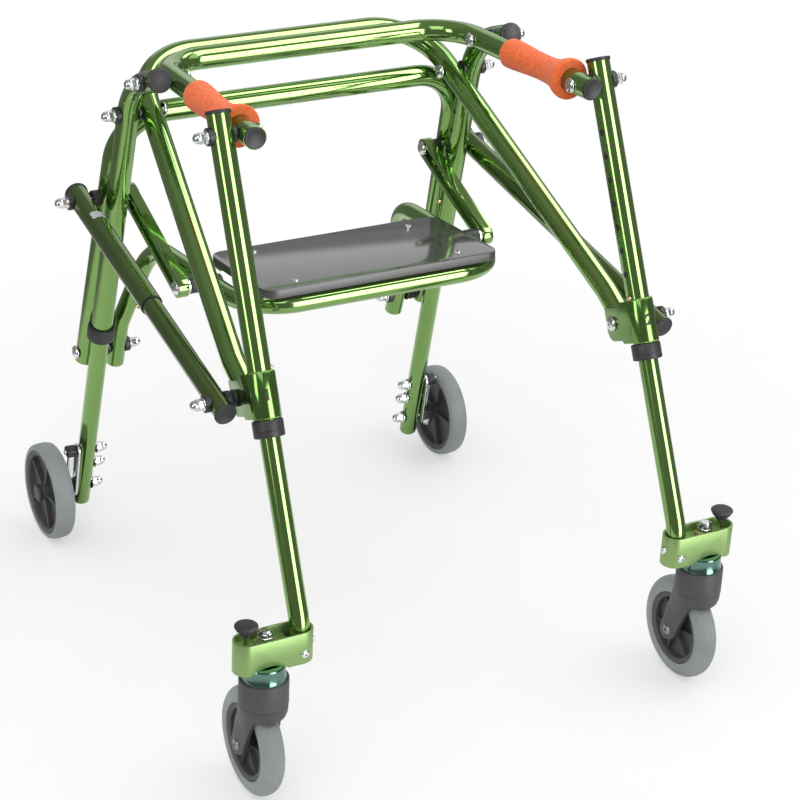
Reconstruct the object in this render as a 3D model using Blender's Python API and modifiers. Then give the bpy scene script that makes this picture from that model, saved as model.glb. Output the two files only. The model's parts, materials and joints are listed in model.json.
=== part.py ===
"""Posterior gait trainer: folding walker of bent aluminium tube with a flip-up seat.

Frame: +Z up, the user faces -Y and the frame is open there, x > 0 is the side marked 2.
The origin is on the floor under the middle of the walker. All values are in metres.
Each paired piece is modelled on the x > 0 side and mirrored to the other.
"""

from math import ceil, cos, pi, radians, sin, sqrt, tan

import bmesh
import bpy
from mathutils import Matrix, Vector

# Tube stock
FRAME_TUBE = 0.0254
TUBE_WALL = 0.0012
SLIDE_GAP = 0.0005
LEG_TUBE = FRAME_TUBE - 2 * TUBE_WALL - 2 * SLIDE_GAP
SEAT_TUBE = 0.0222
FRAME_R, LEG_R, SEAT_R = FRAME_TUBE / 2, LEG_TUBE / 2, SEAT_TUBE / 2
BORE_R = FRAME_R - TUBE_WALL

# Clearances: between pieces that touch, and round a pin
SEAT_GAP = 0.0003
PIN_GAP = 0.0002

# Bolts, washers and spacers at the pivots
BOLT_R = 0.003
HEAD_R, HEAD_HEIGHT = 0.0074, 0.0045
DISC_R = 0.0095
WASHER_THICK = 0.0040
SADDLE_WING = 0.0028
NUT_R, NUT_FLANGE_R = 0.0064, 0.0075
NUT_FLANGE, NUT_BODY, NUT_DOME = 0.0020, 0.0075, 0.0060

# Wheels, all four alike
WHEEL_R, WHEEL_WIDTH = 0.0605, 0.025
RIM_R, TYRE_SHOULDER = 0.043, 0.0105
HUB_BOSS_R, HUB_BOSS_HALF = 0.0100, 0.0133
HUB_RIM, HUB_WEB, HUB_RECESS = 0.0042, 0.0040, 0.0015
AXLE_R = 0.004

# Rear legs: the lines run up from the rear axle
REAR_AXLE_X, REAR_AXLE_Y = 0.2343, 0.2942
REAR_LEAN, REAR_SPLAY = 0.230, 0.025
REAR_LEG_BOTTOM, REAR_LEG_TOP = 0.0320, 0.4250
UPRIGHT_BOTTOM, UPRIGHT_BORE_TOP = 0.2935, 0.4820
UPRIGHT_BEND_R = 0.085
UPRIGHT_END_Y, UPRIGHT_END_Z, STUB_SLOPE = 0.0850, 0.6621, 0.398
HANDLE_PIVOT_SETBACK = 0.0240
REAR_BUTTON_Z, REAR_HOLES = 0.4058, 6

# Collars and plugs on the tube ends
COLLAR_R, COLLAR_BEVEL = 0.0165, 0.0010
COLLAR_LIP, COLLAR_GRIP = 0.0068, 0.0113
CAP_R, CAP_HEIGHT = 0.0137, 0.0040

# Height holes and the snap buttons that stand in them
HOLE_PITCH = 0.0264
BUTTON_R, BUTTON_PROUD = 0.0035, 0.0028

# Rear hoop: its legs start outboard of the uprights and end level with them
HOOP_WELD_GAP = 0.0002
HOOP_LOW_X, HOOP_SPLAY = 0.2346, 0.0438
HOOP_Z, HOOP_LOW_Z, HOOP_BEND_R = 0.5803, 0.2320, 0.060
HOOP_BORE = 0.0150

# Rear wheel mount, with the ratchet on the inner side of the hub
REAR_WHEEL_X = 0.2777
BRACKET_PLATE, BRACKET_LOW_R, BRACKET_TOP_R = 0.0030, 0.0120, 0.0085
BRACKET_BOLT_LOW, BRACKET_BOLT_HIGH = 0.0340, 0.0570
PAWL_HOUSING, PAWL_DEPTH, PAWL_WIDTH = 0.0180, 0.0135, 0.0035
GEAR_TEETH, GEAR_R, GEAR_TOOTH, GEAR_THICK, GEAR_X = 14, 0.0135, 0.0020, 0.0045, 0.2520

# Front legs: the lines run up from the bend above the caster arm
CASTER_Y = -0.3145
LEG_BEND_X, LEG_BEND_Z = 0.2344, 0.2105
FRONT_LEAN, FRONT_SPLAY = 0.482, 0.012
FRONT_BEND_R = 0.045
FRONT_LEG_TOP = 0.6865
FRONT_TUBE_LOW, FRONT_BORE_TOP = 0.3910, 0.6300
INNER_LEG_REACH = 0.0220
BRACKET_MID_Z, BRACKET_HEIGHT, BRACKET_WALL = 0.4242, 0.0470, 0.0025
EAR_OFFSET, EAR_PAST_BOLT, EAR_HEIGHT, EAR_GAP = 0.0362, 0.0120, 0.0380, 0.0008
EAR_DROP, EAR_CORNER_R = 0.0055, 0.0120
KNUCKLE_DISC = 0.0040
FRONT_BUTTON_Z, FRONT_HOLES = 0.4480, 7
HANDLE_PIVOT_Z = FRONT_LEG_TOP - 0.0213

# Handle bar, grips and diagonal brace
PIVOT_PITCH = 0.0280
HANDLE_BACK_Y, HANDLE_PAST_PIVOT, HANDLE_BEND_R = 0.1687, 0.0225, 0.057
DIAGONAL_PIVOT_UP = 0.0065
DIAGONAL_BEHIND, DIAGONAL_PAST_KNUCKLE = 0.0814, 0.0140
DIAGONAL_BEND_R, DIAGONAL_EASE, DIAGONAL_EASE_R = 0.078, 0.045, 0.060
GRIP_FROM_PIVOT, GRIP_LENGTH = 0.0175, 0.1205
GRIP_REAR_R, GRIP_WAIST_R, GRIP_FLANGE_R, GRIP_FLANGE_WIDTH = 0.0172, 0.0147, 0.0233, 0.0085

# Side braces
BRACE_PIVOT_Z = 0.4745
BRACE_OUT_REAR, BRACE_OUT_FRONT = 0.0335, 0.0370
BRACE_PAST_PIVOT, BRACE_PAST_KNUCKLE = 0.0150, 0.0215
BRACE_MOUTH, BRACE_BUTTON_AT = 0.225, 0.211
BRACE_BUTTON_TURN = radians(50)
BRACE_SIDE_PLAY = 0.0021
BRACE_INNER_START = 0.080
BRACE_CAP = 0.003

# Seat
SEAT_PIVOT_Z = 0.2550
SEAT_PIVOT_INBOARD = 0.0396
SEAT_TAIL, SEAT_EASE, SEAT_EASE_R = 0.026, 0.035, 0.060
SEAT_TILT = 0.106
SEAT_FRONT_Y, SEAT_FRONT_Z = -0.0325, 0.4288
SEAT_HALF, SEAT_FRONT_BEND_R = 0.160, 0.060
SEAT_BACK_X, SEAT_BACK_Y, SEAT_BACK_BEND_R = 0.1655, 0.2340, 0.062
BOARD_HALF, BOARD_FRONT_Y, BOARD_BACK_Y = 0.148, -0.0445, 0.1105
BOARD_THICK, BOARD_CORNER_R = 0.010, 0.030
STRAP_FRONT_Y, STRAP_BACK_Y = -0.0232, 0.0890
STRAP_WIDTH, STRAP_THICK, STRAP_SINK = 0.0200, 0.0030, 0.0017
STACK_RINGS = 5
LINK_LOW_Y = 0.0770
LINK_WIDTH, LINK_DEPTH, LINK_WALL, LINK_WEB = 0.0175, 0.0125, 0.0030, 0.0035
LINK_INNER_X, LINK_WASHER = 0.1915, 0.0040
LINK_SLOT_TRAVEL, LINK_SLOT_PLAY = 0.0680, 0.0017

# Casters
CASTER_X = 0.2735
CASTER_TRAIL = 0.0220
NECK_R, NECK_BOTTOM, NECK_TOP = 0.0265, 0.1170, 0.1500
FORK_INNER, FORK_PLATE, FORK_BOSS_R = 0.0142, 0.0055, 0.0145
FORK_CLEAR = 0.0030
CUP_TOP, CUP_R = 0.1720, 0.0262
ARM_BOTTOM, ARM_TOP, ARM_OUTER_X = 0.1680, 0.2050, 0.3090
ARM_WALL, ARM_FIT, ARM_FOOT_LIFT = 0.0027, 0.0011, 0.0070
ARM_PLATE_TOP, ARM_PLATE_START_X = 0.1955, 0.2490
SCALLOP_R, SCALLOP_RISE = 0.0350, 0.0070
STEM_R, STEM_TOP = 0.0060, 0.2113
STEM_WASHER, STEM_WASHER_R, STEM_NUT, STEM_NUT_R = 0.0027, 0.0105, 0.0100, 0.0095
KNOB_X, KNOB_R, KNOB_TOP = 0.2950, 0.0125, 0.2209
KNOB_PIN_R, KNOB_PIN_BOTTOM = 0.0028, 0.1780

# Fineness of round shapes
TUBE_SIDES, BEND_STEP = 12, radians(18)
DISC_SIDES, SMALL_SIDES, WHEEL_SIDES = 8, 6, 18
DOME_STEPS = 2
SHANK_TURN = radians(9)


# Scene, materials and Blender helpers


def clear_scene():
    for item in list(bpy.data.objects):
        bpy.data.objects.remove(item, do_unlink=True)


def new_collection(name):
    collection = bpy.data.collections.new(name)
    bpy.context.scene.collection.children.link(collection)
    return collection


def material(name, colour, roughness, metallic=0.0):
    made = bpy.data.materials.new(name)
    made.use_nodes = True
    shader = made.node_tree.nodes["Principled BSDF"]
    shader.inputs["Base Color"].default_value = (*colour, 1)
    shader.inputs["Roughness"].default_value = roughness
    shader.inputs["Metallic"].default_value = metallic
    return made


clear_scene()
PARTS = new_collection("gait_trainer")
WORK = new_collection("cutters")
GREEN = material("green_anodised", (0.16, 0.36, 0.05), 0.22, 0.9)
LIGHT_GREEN = material("green_satin_plate", (0.36, 0.55, 0.2), 0.35, 0.6)
BLACK = material("black_plastic", (0.03, 0.03, 0.035), 0.5)
STEEL = material("zinc_steel", (0.7, 0.7, 0.72), 0.25, 1.0)
BRASS = material("brass", (0.75, 0.5, 0.25), 0.3, 1.0)
FOAM = material("orange_foam", (0.9, 0.2, 0.05), 0.9)
TYRE = material("grey_tyre", (0.35, 0.37, 0.38), 0.7)
HUB = material("dark_hub", (0.04, 0.04, 0.045), 0.5)
BOARD = material("grey_board", (0.25, 0.25, 0.26), 0.25)


def work_object(mesh, place=None):
    made = bpy.data.objects.new("work", mesh)
    WORK.objects.link(made)
    made.hide_render = True
    made.display_type = "WIRE"
    if place is not None:
        made.matrix_world = place
    return made


def baked(source):
    """The object's evaluated mesh in world space, as a new object; the source is removed."""
    bpy.context.view_layer.update()
    shown = source.evaluated_get(bpy.context.evaluated_depsgraph_get())
    mesh = bpy.data.meshes.new_from_object(shown)
    mesh.transform(source.matrix_world)
    shape = bmesh.new()
    shape.from_mesh(mesh)
    bmesh.ops.remove_doubles(shape, verts=shape.verts, dist=1e-6)
    shape.to_mesh(mesh)
    shape.free()
    bpy.data.objects.remove(source, do_unlink=True)
    return work_object(mesh)


def combined(target, others, operation):
    for other in others:
        step = target.modifiers.new(operation.lower(), "BOOLEAN")
        step.operation = operation
        step.object = other
    result = baked(target)
    for other in others:
        bpy.data.objects.remove(other, do_unlink=True)
    return result


def cut(target, *cutters):
    return combined(target, cutters, "DIFFERENCE")


def joined(target, *others):
    return combined(target, others, "UNION")


def mirrored(source):
    """A copy on the other side of x = 0, with its faces turned to point outwards again."""
    mesh = source.data.copy()
    shape = bmesh.new()
    shape.from_mesh(mesh)
    bmesh.ops.scale(shape, verts=shape.verts, vec=(-1, 1, 1))
    bmesh.ops.reverse_faces(shape, faces=shape.faces)
    shape.to_mesh(mesh)
    shape.free()
    return work_object(mesh)


def both_sides(source):
    return [source, mirrored(source)]


def finished(source, name, look, origin):
    """Turns a work object into the named part, with its own origin on its joint or centre."""
    source.name = name
    source.data.name = name
    source.data.transform(Matrix.Translation(-Vector(origin)))
    source.location = origin
    source.data.materials.clear()
    source.data.materials.append(look)
    source.data.shade_smooth()
    source.data.set_sharp_from_angle(angle=radians(35))
    source.hide_render = False
    source.display_type = "TEXTURED"
    WORK.objects.unlink(source)
    PARTS.objects.link(source)
    return source


def pair(source, name, look, origin):
    """The same piece on both sides, named _right (x > 0) and _left."""
    other = mirrored(source)
    finished(source, name + "_right", look, origin)
    finished(other, name + "_left", look, (-origin[0], origin[1], origin[2]))


# Shapes

ACROSS = Vector((1, 0, 0))


def rounded_path(corners, radii):
    """Points along straight runs whose inner corners are arcs of the given radii."""
    points = [corners[0]]
    for before, corner, after, radius in zip(corners, corners[1:], corners[2:], radii):
        back = (before - corner).normalized()
        ahead = (after - corner).normalized()
        turn = pi - back.angle(ahead)
        start = back * radius * tan(turn / 2)
        centre = (back + ahead).normalized() * radius / cos(turn / 2)
        axis = back.cross(ahead)
        steps = max(2, ceil(turn / BEND_STEP))
        for step in range(steps + 1):
            spin = Matrix.Rotation(-turn * step / steps, 3, axis)
            points.append(corner + centre + spin @ (start - centre))
    points.append(corners[-1])
    return points


def tube(points, radius):
    """A round bar along the points, as a mesh whose caps are welded."""
    curve = bpy.data.curves.new("path", "CURVE")
    curve.dimensions = "3D"
    curve.bevel_depth = radius
    curve.bevel_resolution = (TUBE_SIDES - 4) // 2
    curve.use_fill_caps = True
    spline = curve.splines.new("POLY")
    spline.points.add(len(points) - 1)
    for target, point in zip(spline.points, points):
        target.co = (*point, 1)
    return baked(work_object(curve))


def aimed(start, direction):
    """A matrix at start whose Z runs along direction and whose X is near the world's X or Z."""
    z = direction.normalized()
    across = ACROSS if abs(z.x) < 0.9 else Vector((0, 0, 1))
    y = z.cross(across).normalized()
    turned_axes = Matrix((y.cross(z), y, z)).transposed()
    return Matrix.Translation(start) @ turned_axes.to_4x4()


def turned(profile, place, sides=TUBE_SIDES):
    """Revolves (radius, height) points round Z. They run up the bore and down the outer side."""
    shape = bmesh.new()
    on_axis = profile[0][0] == 0
    verts = [shape.verts.new((radius, 0, height)) for radius, height in profile]
    pairs = list(zip(verts, verts[1:])) + ([] if on_axis else [(verts[-1], verts[0])])
    for a, b in pairs:
        shape.edges.new((a, b))
    mesh = bpy.data.meshes.new("profile")
    shape.to_mesh(mesh)
    shape.free()
    made = work_object(mesh, place)
    screw = made.modifiers.new("turn", "SCREW")
    screw.steps = screw.render_steps = sides
    screw.use_merge_vertices = True
    screw.merge_threshold = 1e-5
    return baked(made)


def cylinder(start, end, radius, sides=TUBE_SIDES, turn=0):
    length = (end - start).length
    place = aimed(start, end - start) @ Matrix.Rotation(turn, 4, "Z")
    return turned([(0, length), (radius, length), (radius, 0), (0, 0)], place, sides)


def fitted(radius, sides=TUBE_SIDES, gap=SEAT_GAP):
    """The corner radius of a bore with flat sides that clears a round piece all the way."""
    return (radius + gap) / cos(pi / sides)


def drill(point, radius, reach, direction=ACROSS):
    """A cutter for a pin of this radius through a point, as long each way as reach."""
    bore = fitted(radius, SMALL_SIDES, PIN_GAP)
    return cylinder(point - direction * reach, point + direction * reach, bore, SMALL_SIDES)


def plate(outline, thickness, place):
    """An outline in the XY plane of place, with its thickness centred on that plane."""
    curve = bpy.data.curves.new("outline", "CURVE")
    curve.dimensions = "2D"
    curve.fill_mode = "BOTH"
    curve.extrude = thickness / 2
    spline = curve.splines.new("POLY")
    spline.use_cyclic_u = True
    spline.points.add(len(outline) - 1)
    for target, point in zip(spline.points, outline):
        target.co = (point[0], point[1], 0, 1)
    return baked(work_object(curve, place))


def box(low, high, place=None):
    shape = bmesh.new()
    bmesh.ops.create_cube(shape, size=1)
    low, high = Vector(low), Vector(high)
    bmesh.ops.scale(shape, verts=shape.verts, vec=high - low)
    bmesh.ops.translate(shape, verts=shape.verts, vec=(low + high) / 2)
    mesh = bpy.data.meshes.new("box")
    shape.to_mesh(mesh)
    shape.free()
    return work_object(mesh, place)


def arc(centre, radius, start, end, steps):
    """Points of an arc in the plane, with its angles in degrees."""
    found = []
    for step in range(steps + 1):
        angle = radians(start + (end - start) * step / steps)
        found.append((centre[0] + radius * cos(angle), centre[1] + radius * sin(angle)))
    return found


def stadium(x0, x1, radius, steps=6):
    """A slot-shaped outline along X whose ends reach x0 and x1."""
    return arc((x1 - radius, 0), radius, -90, 90, steps) + arc(
        (x0 + radius, 0), radius, 90, 270, steps
    )


# The lines of the frame, all on the x > 0 side


def rear_axis(z):
    """Centre of the rear leg and upright at height z."""
    rise = z - WHEEL_R
    return Vector((REAR_AXLE_X - REAR_SPLAY * rise, REAR_AXLE_Y - REAR_LEAN * rise, z))


def front_axis(z):
    """Centre of the front leg at height z, above its bend."""
    rise = z - LEG_BEND_Z
    return Vector((LEG_BEND_X - FRONT_SPLAY * rise, CASTER_Y + FRONT_LEAN * rise, z))


def with_x(point, x):
    return Vector((x, point.y, point.z))


AXIS_Z = Vector((0, 0, 1))
REAR_UP = (rear_axis(1) - rear_axis(0)).normalized()
FRONT_UP = (front_axis(1) - front_axis(0)).normalized()
REAR_BACK = REAR_UP.cross(ACROSS).normalized()
FRONT_BACK = FRONT_UP.cross(ACROSS).normalized()

HOOP_OFFSET = REAR_BACK * (FRAME_TUBE + HOOP_WELD_GAP)


def hoop_axis(z):
    """Centre of the hoop's leg at height z, against the back of the upright."""
    behind = rear_axis(z - HOOP_OFFSET.z) + HOOP_OFFSET
    return with_x(behind, HOOP_LOW_X - HOOP_SPLAY * (z - HOOP_LOW_Z))


HOOP_UP = (hoop_axis(1) - hoop_axis(0)).normalized()


# Upright: where its line meets that of the stub which ends in the front plug
corner_z = (UPRIGHT_END_Z + STUB_SLOPE * (UPRIGHT_END_Y - rear_axis(0).y)) / (
    1 - STUB_SLOPE * REAR_LEAN
)
UPRIGHT_CORNER = rear_axis(corner_z)
UPRIGHT_END = Vector((UPRIGHT_CORNER.x, UPRIGHT_END_Y, UPRIGHT_END_Z))
STUB_DIRECTION = (UPRIGHT_END - UPRIGHT_CORNER).normalized()
bend_reach = UPRIGHT_BEND_R * tan(REAR_UP.angle(STUB_DIRECTION) / 2)
UPRIGHT_PATH = rounded_path(
    [rear_axis(UPRIGHT_BOTTOM), UPRIGHT_CORNER, UPRIGHT_END], [UPRIGHT_BEND_R]
)

# Pivots on the outer tubes
FRONT_BUTTON = front_axis(FRONT_BUTTON_Z)
KNUCKLE = front_axis(BRACKET_MID_Z) + FRONT_BACK * EAR_OFFSET
HANDLE_FRONT_PIVOT = front_axis(HANDLE_PIVOT_Z)
HANDLE_REAR_PIVOT = UPRIGHT_END - STUB_DIRECTION * HANDLE_PIVOT_SETBACK
DIAGONAL_PIVOT = UPRIGHT_CORNER - REAR_UP * (bend_reach - DIAGONAL_PIVOT_UP)
SEAT_PIVOT_LEG = hoop_axis(SEAT_PIVOT_Z)
LINK_PIN = hoop_axis(BRACE_PIVOT_Z)

# Handle bar: straight through its two pivots
HANDLE_REAR = HANDLE_REAR_PIVOT - ACROSS * PIVOT_PITCH
HANDLE_FRONT = HANDLE_FRONT_PIVOT - ACROSS * PIVOT_PITCH
HANDLE_DIRECTION = (HANDLE_FRONT - HANDLE_REAR).normalized()
HANDLE_CORNER = HANDLE_REAR - HANDLE_DIRECTION * (
    (HANDLE_BACK_Y - HANDLE_REAR.y) / -HANDLE_DIRECTION.y
)

# Diagonal brace: flares from its pivot to a slight bend, then runs square to the knuckle bolt
DIAGONAL_HOLE = DIAGONAL_PIVOT - ACROSS * PIVOT_PITCH
DIAGONAL_DOWN = (with_x(KNUCKLE, 0) - with_x(DIAGONAL_HOLE, 0)).normalized()
DIAGONAL_BEND = KNUCKLE - DIAGONAL_DOWN * DIAGONAL_EASE
DIAGONAL_FLARE = (DIAGONAL_BEND - DIAGONAL_HOLE).normalized()
DIAGONAL_CORNER = DIAGONAL_HOLE - DIAGONAL_FLARE * DIAGONAL_BEHIND

# Side brace
BRACE_REAR_HOLE = LINK_PIN + ACROSS * BRACE_OUT_REAR
BRACE_FRONT_HOLE = KNUCKLE + ACROSS * BRACE_OUT_FRONT
BRACE_DIRECTION = (BRACE_FRONT_HOLE - BRACE_REAR_HOLE).normalized()
BRACE_DOWN = ACROSS.cross(BRACE_DIRECTION).normalized()
BRACE_OUTWARD = BRACE_DIRECTION.cross(BRACE_DOWN)
BRACE_BUTTON_SIDE = BRACE_DOWN * cos(BRACE_BUTTON_TURN) + BRACE_OUTWARD * sin(BRACE_BUTTON_TURN)

# Wheels
REAR_AXLE = rear_axis(WHEEL_R)
WHEEL_BOLTS = [REAR_AXLE + REAR_UP * reach for reach in (BRACKET_BOLT_LOW, BRACKET_BOLT_HIGH)]
CASTER_AXLE = Vector((CASTER_X, CASTER_Y + CASTER_TRAIL, WHEEL_R))
ARM_R = LEG_R + ARM_FIT + ARM_WALL

# Seat: side tubes along the board, then down and outwards to the pivots
SEAT_NORMAL = Vector((0, SEAT_TILT, 1)).normalized()
SEAT_SPLAY = (SEAT_BACK_X - SEAT_HALF) / (SEAT_BACK_Y - SEAT_FRONT_Y)


def seat_axis(y):
    """Centre of the seat's side tube at y."""
    run = y - SEAT_FRONT_Y
    return Vector((SEAT_HALF + SEAT_SPLAY * run, y, SEAT_FRONT_Z - SEAT_TILT * run))


SEAT_BACK = seat_axis(SEAT_BACK_Y)
SEAT_PIVOT = SEAT_PIVOT_LEG - ACROSS * SEAT_PIVOT_INBOARD
SEAT_DOWN = (with_x(SEAT_PIVOT, 0) - with_x(SEAT_BACK, 0)).normalized()
STRAP_TOP = SEAT_R + STRAP_THICK - STRAP_SINK
LINK_BOLT = seat_axis(LINK_LOW_Y)


# Fasteners, each along the X axis through a pivot


def disc(point, start, end, radius=DISC_R):
    return cylinder(with_x(point, start), with_x(point, end), radius, DISC_SIDES)


def shank(point, start, end, radius=BOLT_R):
    """A bolt's shank, turned a little so that its edges miss those of the heads and discs."""
    return cylinder(with_x(point, start), with_x(point, end), radius, SMALL_SIDES, SHANK_TURN)


def dome(radius, height, base=0):
    """The profile of a dome from its top down to its rim."""
    angles = [pi / 2 * step / DOME_STEPS for step in range(DOME_STEPS + 1)]
    return [(radius * sin(angle), base + height * cos(angle)) for angle in angles]


def dome_head(point, x, side):
    """A domed bolt head, flat at x, that points to the given side (1 or -1)."""
    profile = dome(HEAD_R, HEAD_HEIGHT) + [(0, 0)]
    return turned(profile, aimed(with_x(point, x), ACROSS * side), DISC_SIDES)


def acorn_nut(point, x, side):
    """A flanged hexagon nut with a domed end, flat at x."""
    profile = dome(NUT_R, NUT_DOME, NUT_FLANGE + NUT_BODY)
    profile += [(NUT_R, NUT_FLANGE), (NUT_FLANGE_R, NUT_FLANGE), (NUT_FLANGE_R, 0), (0, 0)]
    return turned(profile, aimed(with_x(point, x), ACROSS * side), 6)


def straight(point, direction):
    """The stretch of a straight tube's centre line that a disc at point lies on."""
    return [point - direction * DISC_R * 2, point + direction * DISC_R * 2]


def saddle(point, flat_x, path, tube_r):
    """A disc on a bolt, flat at flat_x, whose other side fits a tube that follows path."""
    side = 1 if flat_x > point.x else -1
    washer = disc(point, point.x + side * (tube_r - SADDLE_WING), flat_x)
    return cut(washer, tube(path, fitted(tube_r)))


def washer_and_nut(point, path, tube_r, side=1):
    """The saddle washer and acorn nut on one side of a tube."""
    flat_x = point.x + side * (tube_r + WASHER_THICK)
    nut = acorn_nut(point, flat_x - side * SEAT_GAP, side)
    return joined(saddle(point, flat_x, path, tube_r), nut)


def flare_gap(direction):
    """Room beside a disc for a tube that isn't square to its bolt."""
    return SEAT_GAP + DISC_R * abs(direction.x) / sqrt(1 - direction.x**2)


def tube_pivot(point, outer_path, inner_direction, through_inner=True):
    """Bolt, spacer, washer and nut that hold a tube PIVOT_PITCH inboard of another."""
    inner_x = point.x - PIVOT_PITCH
    gap = flare_gap(inner_direction)
    spacer = saddle(point, inner_x + FRAME_R + gap, outer_path, FRAME_R)
    outside = washer_and_nut(point, outer_path, FRAME_R)
    pieces = [spacer, outside]
    start = inner_x + FRAME_R + gap + SEAT_GAP
    if through_inner:
        head_x = inner_x - FRAME_R - gap
        pieces.append(dome_head(point, head_x, -1))
        start = head_x - HEAD_HEIGHT / 2
    end = point.x + FRAME_R + WASHER_THICK + NUT_FLANGE
    return joined(shank(point, start, end), *pieces)


def pivot_drill(point):
    return drill(point, BOLT_R, FRAME_TUBE)


def side_holes(axis_points, side):
    """Cutters for the height holes on one side (1 or -1 in X) of a tube."""
    return [button_hole(point, ACROSS * side) for point in axis_points]


def button_hole(point, direction):
    """A cutter for a snap button, through the wall on one side of a tube."""
    return cylinder(
        point + direction * FRAME_R / 2,
        point + direction * FRAME_TUBE,
        fitted(BUTTON_R, SMALL_SIDES),
        SMALL_SIDES,
    )


def snap_button(point, direction):
    """A sprung button that stands in a hole of an outer tube, its base clear of the inner one."""
    height = FRAME_R + BUTTON_PROUD - BORE_R
    profile = [
        (0, height),
        (BUTTON_R * 0.6, height * 0.92),
        (BUTTON_R, height * 0.6),
        (BUTTON_R, 0),
        (0, 0),
    ]
    return turned(profile, aimed(point + direction * BORE_R, direction), SMALL_SIDES)


def end_cap(point, direction):
    """The flat plug flange on a tube end."""
    return cylinder(point - direction * CAP_HEIGHT / 2, point + direction * CAP_HEIGHT / 2, CAP_R)


def collar(tube_end, up):
    """The stepped ring on the lower end of an outer tube, with a lip that guides the inner one."""
    grip_r, lip_r = fitted(FRAME_R), fitted(LEG_R)
    step = COLLAR_LIP - SEAT_GAP
    top = COLLAR_LIP + COLLAR_GRIP
    edge = COLLAR_R - COLLAR_BEVEL
    profile = [
        (lip_r, 0),
        (lip_r, step),
        (grip_r, step),
        (grip_r, top),
        (edge, top),
        (COLLAR_R, top - COLLAR_BEVEL),
        (COLLAR_R, COLLAR_BEVEL),
        (edge, 0),
    ]
    return turned(profile, aimed(tube_end - up * COLLAR_LIP, up))


# Rear frame


def make_rear_hoop():
    """Bent tube behind the uprights, drilled for the seat pivots and the brace bolts."""
    low, corner = hoop_axis(HOOP_LOW_Z), hoop_axis(HOOP_Z)
    across = [with_x(corner, -corner.x), with_x(low, -low.x)]
    hoop = tube(rounded_path([low, corner] + across, [HOOP_BEND_R] * 2), FRAME_R)
    bores = both_sides(cylinder(low - HOOP_UP * FRAME_R, low + HOOP_UP * HOOP_BORE, BORE_R))
    drills = both_sides(pivot_drill(SEAT_PIVOT_LEG)) + both_sides(pivot_drill(LINK_PIN))
    hoop = cut(hoop, *bores, *drills)
    finished(hoop, "rear_hoop", GREEN, (0, corner.y, corner.z))


def make_uprights():
    bottom = rear_axis(UPRIGHT_BOTTOM)
    upright = joined(tube(UPRIGHT_PATH, FRAME_R), end_cap(UPRIGHT_END, STUB_DIRECTION))
    bore = cylinder(bottom - REAR_UP * FRAME_R, rear_axis(UPRIGHT_BORE_TOP), BORE_R)
    holes = [rear_axis(REAR_BUTTON_Z) + REAR_UP * HOLE_PITCH * n for n in range(REAR_HOLES + 1)]
    pivots = [pivot_drill(point) for point in (HANDLE_REAR_PIVOT, DIAGONAL_PIVOT)]
    upright = cut(upright, bore)
    upright = cut(upright, *side_holes(holes, -1), *pivots)
    pair(upright, "upright", GREEN, bottom)


def make_rear_collars():
    bottom = rear_axis(UPRIGHT_BOTTOM)
    ring = collar(bottom, REAR_UP)
    beside = hoop_axis(bottom.z)
    reach = HOOP_UP * (COLLAR_LIP + COLLAR_GRIP) * 2
    ring = cut(ring, cylinder(beside - reach, beside + reach, fitted(FRAME_R)))
    pair(ring, "rear_collar", BLACK, bottom)


def make_rear_buttons():
    point = rear_axis(REAR_BUTTON_Z)
    pair(snap_button(point, -ACROSS), "rear_snap_button", BRASS, point)


def make_upright_pivots():
    handle = tube_pivot(HANDLE_REAR_PIVOT, UPRIGHT_PATH, HANDLE_DIRECTION)
    pair(handle, "handle_pivot", STEEL, HANDLE_REAR_PIVOT)
    diagonal = tube_pivot(DIAGONAL_PIVOT, UPRIGHT_PATH, DIAGONAL_FLARE)
    pair(diagonal, "diagonal_pivot", STEEL, DIAGONAL_PIVOT)


# Lower rear legs with their wheels


def make_rear_legs():
    low = rear_axis(REAR_LEG_BOTTOM)
    length = (rear_axis(REAR_LEG_TOP) - low).length
    rounding = [(LEG_R, LEG_R * 0.6), (LEG_R * 0.75, LEG_R * 0.2), (LEG_R * 0.4, 0), (0, 0)]
    leg = turned([(0, length), (LEG_R, length)] + rounding, aimed(low, REAR_UP))
    button = side_holes([rear_axis(REAR_BUTTON_Z)], -1)
    axle = drill(REAR_AXLE, AXLE_R, LEG_TUBE)
    bolts = [pivot_drill(point) for point in WHEEL_BOLTS]
    pair(cut(leg, *button, axle, *bolts), "rear_leg", GREEN, REAR_AXLE)


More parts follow.
